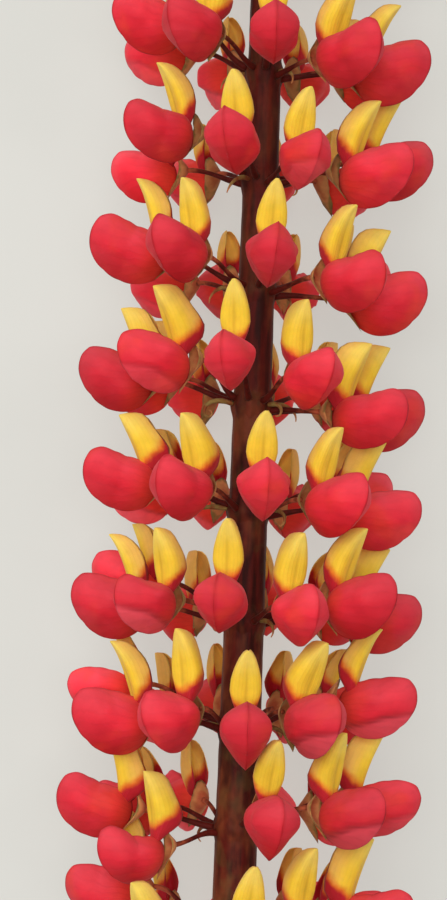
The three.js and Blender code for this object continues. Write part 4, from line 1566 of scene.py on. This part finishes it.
def bract_path(station, azimuth, length, droop, curl, patch):
    """A thin bract that leaves the stem outward, droops and curls in at its end."""
    steps = np.linspace(0, 1, BRACT["steps"])
    angle = np.radians(BRACT["rise"] - droop * steps - curl * steps**3)
    out, up = np.array(outward_at(azimuth)), np.array(UPWARD)
    runs = (np.cos(angle)[:, None] * out + np.sin(angle)[:, None] * up) * length / len(steps)
    foot = station - STALK["drop"]
    side = np.cross(out, up) * (BRACT["swing"] * length * steps**2)[:, None]
    points = out * (stem_radius(foot) + BRACT["proud"]) + up * foot + np.cumsum(runs, axis=0) + side
    points, thick = closed_ends(points, np.interp(steps, *np.array(BRACT["thickness"]).T))
    return Path(points, thick, patch, tint=spread())


print("a ring swells the stem by", COLLAR["thickness"] - COLLAR["inside"], "mm at most")

# %% The parts of a whorl
STALK_SKIN = {"sides": 8, "lumps": 0.12 * MM}
RING_SKIN = {"sides": 40, "rib_height": 0.12 * MM, "lumps": 0.35 * MM}
BRACT_SKIN = {"sides": 8, "lumps": 0.1 * MM}


def whorl_parts(name, all_florets, whole_florets, station):
    """The cups, stalks and ring of a whorl, with the petals of the florets that it holds whole."""
    bracts = BRACTS.get(name[-2:], ())
    patches = Patches(2 * len(all_florets) + 2 * len(whole_florets) + 1 + len(bracts))
    cups = set_out(name, petal_places(all_florets, "calyx", patches), calyx_shelf, "calyx", patches)
    stalks = [stalk_path(f, p) for f, p in zip(all_florets, patches.take(len(all_florets)))]
    stalks = sweep(name + "_stalks", stalks, "stalk", patches, **STALK_SKIN)
    ring = [collar_path(station, patches.take(1)[0])]
    ring = sweep(name + "_ring", ring, "stem", patches, ribs=float(len(all_florets)), **RING_SKIN)
    parts = [cups, stalks, ring]
    if bracts:
        dry = [bract_path(station, *bract, patches.take(1)[0]) for bract in bracts]
        parts.append(sweep(name + "_bracts", dry, "bract", patches, **BRACT_SKIN))
    return parts + petals_of(name, whole_florets, patches)


print("a whorl's ring has", RING_SKIN["sides"], "sides, and a rib for each floret")

# %% Make the whorls in full flower
for name, whorl in WHORLS.items():
    florets, under = opened[name], hidden[name]
    petals = petals_of("corollas_" + name, florets, Patches(2 * len(florets)))
    nodes = [f"corolla_{name}_{number + 1}" for number in range(len(florets))]
    finish_piece("corollas_" + name, petals, nodes)
    parts = whorl_parts("stalks_" + name, florets + under, under, whorl["station"])
    finish_piece("florets_" + name, parts, ["whorl_" + name])

# %% Make the two younger whorls
for name, whorl in YOUNG_WHORLS.items():
    florets = young[name]
    parts = whorl_parts("stalks_" + name, florets, florets, whorl["station"])
    finish_piece("florets_" + name, parts, ["whorl_" + name])

# %% [markdown]
# ## The stem
#
# The stem is a tapering round stalk, faintly ribbed, cut straight across at its lower end. It
# is one swept path. At the cut end its thickness closes in a few very small steps, which makes a
# flat cut: a rim of skin round a pale pith.

# %% Make the stem
STEM_STEP = 1.6                   # distance between the stem's rows of points
CUT = {"step": 0.04, "shares": (0, 0.3, 0.55, 0.7, 0.8, 0.9, 0.97), "pith": (1, 1, 1, 0.9, 0.4, 0.15, 0)}
STEM_SKIN = {"sides": 48, "ribs": 9.0, "rib_height": 0.07 * MM, "lumps": 0.28 * MM, "lump_size": 4 * MM}


def stem_path(start, end, patch):
    """The stem between two stations. Both ends close in small steps, the first with pale pith."""
    shares, rows = np.array(CUT["shares"]), len(CUT["shares"])
    whole = np.linspace(start, end, round((end - start) / STEM_STEP))
    closing = np.arange(rows) * CUT["step"]
    stations = np.concatenate((start + closing, whole[1:-1], end - closing[::-1]))
    thick = stem_radius(stations)
    thick[:rows] *= shares
    thick[-rows:] *= shares[::-1]
    pith = np.zeros_like(stations)
    pith[:rows] = CUT["pith"]
    return Path(on_axis(stations), thick, patch, age=stem_age(stations), pith=pith)


patches = Patches(1)
stem = stem_path(STEM_ENDS["cut"], STEM_ENDS["join"], patches.take(1)[0])
stem = sweep("stem_sweep", [stem], "stem", patches, **STEM_SKIN)
finish_piece("flower_stem", [stem], ["stem"])

# %% [markdown]
# ## The growing tip
#
# Rings of buds close over the end of the stem, each ring smaller, steeper and greener than the
# one below. Between the settled rings, smaller buds fill in, as they do on a real spike, which
# is why the tip looks like a dense cone.

# %% The buds' places
FILL_IN = {"size": 0.8, "turn": 0.5}      # the buds between two rings
BUD_SPREAD = {"azimuth": 4, "pitch": 3}
BUD_AGES = (0.3, 1.0)                     # at the lowest and the highest ring
BUD_STALK = {"below": 0.25, "knee": 0.6, "sag": 0.3, "thickness": (0.6, 0.5), "neck": 0.16}


def rings_between(rings):
    """A ring of smaller buds between each two rings."""
    made = []
    for low, high in zip(rings, rings[1:]):
        station, count, _, pitch, length, thick, reach = ((np.array(low) + high) / 2).tolist()
        turn = low[2] + FILL_IN["turn"] * 360 / low[1]
        made.append((station, round(count), turn, pitch, length * FILL_IN["size"],
                     thick * FILL_IN["size"], reach))
    return made


def bud_places(rings):
    made = []
    for station, count, turn, pitch, length, thick, reach in rings:
        age = np.interp(station, (BUD_RINGS[0][0], BUD_RINGS[-1][0]), BUD_AGES)
        for index in range(count):
            azimuth = turn + 360 / count * index + BUD_SPREAD["azimuth"] * wobble(station, index)
            tilt = pitch + BUD_SPREAD["pitch"] * wobble(index + 3, station)
            made.append(Place(
                at=reach * outward_at(azimuth) + station * UPWARD, axes=axes_at(azimuth, tilt),
                size=(length, thick, thick), variant=int(rng.integers(2)), tint=spread(),
                age=float(age), patch=0))
    return made


buds = bud_places([*BUD_RINGS, *rings_between(BUD_RINGS)])
print(len(buds), "buds close the tip")

# %% Make the tip
BUD_STALK_SKIN = {"sides": 6}
TIP_SKIN = {"sides": 24, "lumps": 0.2 * MM}


def on_new_patches(places, patches):
    for place, patch in zip(places, patches.take(len(places))):
        place.patch = patch
    return places


def bud_stalk(place, patch):
    root = (place.at.y - BUD_STALK["below"] * place.size[0]) * UPWARD
    knee = root.lerp(place.at, BUD_STALK["knee"]) - BUD_STALK["sag"] * UPWARD
    thick = np.array((*BUD_STALK["thickness"], BUD_STALK["neck"] * place.size[1]))
    points, thick = closed_ends(np.array([root, knee, place.at]), thick)
    return Path(points, thick, patch, tint=place.tint, age=place.age)


patches = Patches(3 * len(buds) + 1)
bud_petals = set_out("bud_petals", on_new_patches(buds, patches), bud_shelf, "bud", patches)
bud_cups = set_out("bud_cups", on_new_patches(buds, patches), bud_calyx_shelf, "bud_calyx", patches)
bud_stalks = [bud_stalk(bud, patch) for bud, patch in zip(buds, patches.take(len(buds)))]
bud_stalks = sweep("bud_stalks", bud_stalks, "stalk", patches, **BUD_STALK_SKIN)
tip_stem = stem_path(STEM_ENDS["join"], STEM_ENDS["tip"], patches.take(1)[0])
tip_stem = sweep("tip_stem", [tip_stem], "stem", patches, **TIP_SKIN)
finish_piece("growing_tip", [bud_petals, bud_cups, bud_stalks, tip_stem], ["tip"])

# %% Put the shelves away
shelves = (wings_shelf, banner_shelf, calyx_shelf, bud_shelf, bud_calyx_shelf)
for shelf in shelves:
    for variant in list(shelf.objects):
        bpy.data.objects.remove(variant)
    bpy.data.collections.remove(shelf)
print(len(shelves), "shelves put away")

# %% [markdown]
# ## Floor, light and camera
#
# The spike lies on a pale floor that gives light of its own, as a light table does, so its
# florets are seen by their own colour and throw no hard shadow. One large soft light stands at
# the upper left, like a window, and a weaker one behind the camera keeps the gaps between the
# florets from going dark. The camera looks down on the spike, as a standing one is seen from the
# front. A long lens from over half a metre keeps the whorls from spreading apart.

# %% The floor
FLOOR = {"size": 3.0, "glow": 2.36, "noise": 0.02, "papers": (srgb(124, 124, 120), srgb(126, 126, 122))}


def stage_floor():
    mesh = bpy.data.meshes.new("floor")
    half = FLOOR["size"] / 2
    corners = [(-half, -half, 0), (half, -half, 0), (half, half, 0), (-half, half, 0)]
    mesh.from_pydata(corners, [], [(0, 1, 2, 3)])
    floor = bpy.data.objects.new("floor", mesh)
    bpy.context.scene.collection.objects.link(floor)
    material, tree, shader = new_finish("pale_floor", roughness=0.9, specular_ior_level=0.2)
    paper = tree.mix(tree.ease(tree.noise(FLOOR["noise"], detail=3), 0.35, 0.65), *FLOOR["papers"])
    tree.plug(shader.inputs["Base Color"], paper)
    tree.plug(shader.inputs["Emission Color"], paper)
    tree.plug(shader.inputs["Emission Strength"], FLOOR["glow"])
    mesh.materials.append(material)


stage_floor()
print("the floor is", FLOOR["size"], "m wide")

# %% The lights and the camera
LIGHTS = {
    "window": {"at": (-0.32, 0.42, 0.92), "size": 1.1, "power": 6.3},
    "front": {"at": (-0.02, -0.06, 1.1), "size": 0.5, "power": 3.6},
}
LIGHT_COLOUR = (1.0, 0.995, 0.98)
LIGHTS_AIM_AT = Vector((0, 0, 0.03))
ROOM = {"Color": (0.96, 0.96, 0.98, 1), "Strength": 0.55}
CAMERA = {"at": Vector((-5.43, -52, 559)) * MM, "looks_at": Vector((-5.43, -14, 29)) * MM,
          "roll": math.radians(2.16), "lens": 111.6, "sensor": 36, "near": 0.05}


def soft_light(name, at, size, power):
    data = bpy.data.lights.new(name, "AREA")
    data.shape, data.size, data.energy, data.color = "DISK", size, power, LIGHT_COLOUR
    lamp = bpy.data.objects.new(name, data)
    bpy.context.scene.collection.objects.link(lamp)
    lamp.location = at
    lamp.rotation_euler = (LIGHTS_AIM_AT - Vector(at)).to_track_quat("-Z", "Y").to_euler()


def room_light():
    world = bpy.data.worlds.new("room_light")
    world.use_nodes = True
    for title, value in ROOM.items():
        world.node_tree.nodes["Background"].inputs[title].default_value = value
    bpy.context.scene.world = world


def look_down():
    data = bpy.data.cameras.new("camera")
    data.lens, data.sensor_width, data.clip_start = CAMERA["lens"], CAMERA["sensor"], CAMERA["near"]
    camera = bpy.data.objects.new("camera", data)
    bpy.context.scene.collection.objects.link(camera)
    back = (CAMERA["at"] - CAMERA["looks_at"]).normalized()
    up = Vector((-math.sin(CAMERA["roll"]), math.cos(CAMERA["roll"]), 0))
    right = up.cross(back).normalized()
    turn = Matrix((right, back.cross(right), back)).transposed()
    camera.matrix_world = Matrix.Translation(CAMERA["at"]) @ turn.to_4x4()
    bpy.context.scene.camera = camera


for name, light in LIGHTS.items():
    soft_light(name, **light)
room_light()
look_down()
bpy.context.scene.view_settings.view_transform = "Standard"
print(len(LIGHTS), "soft lights, and a lens of", CAMERA["lens"], "mm")
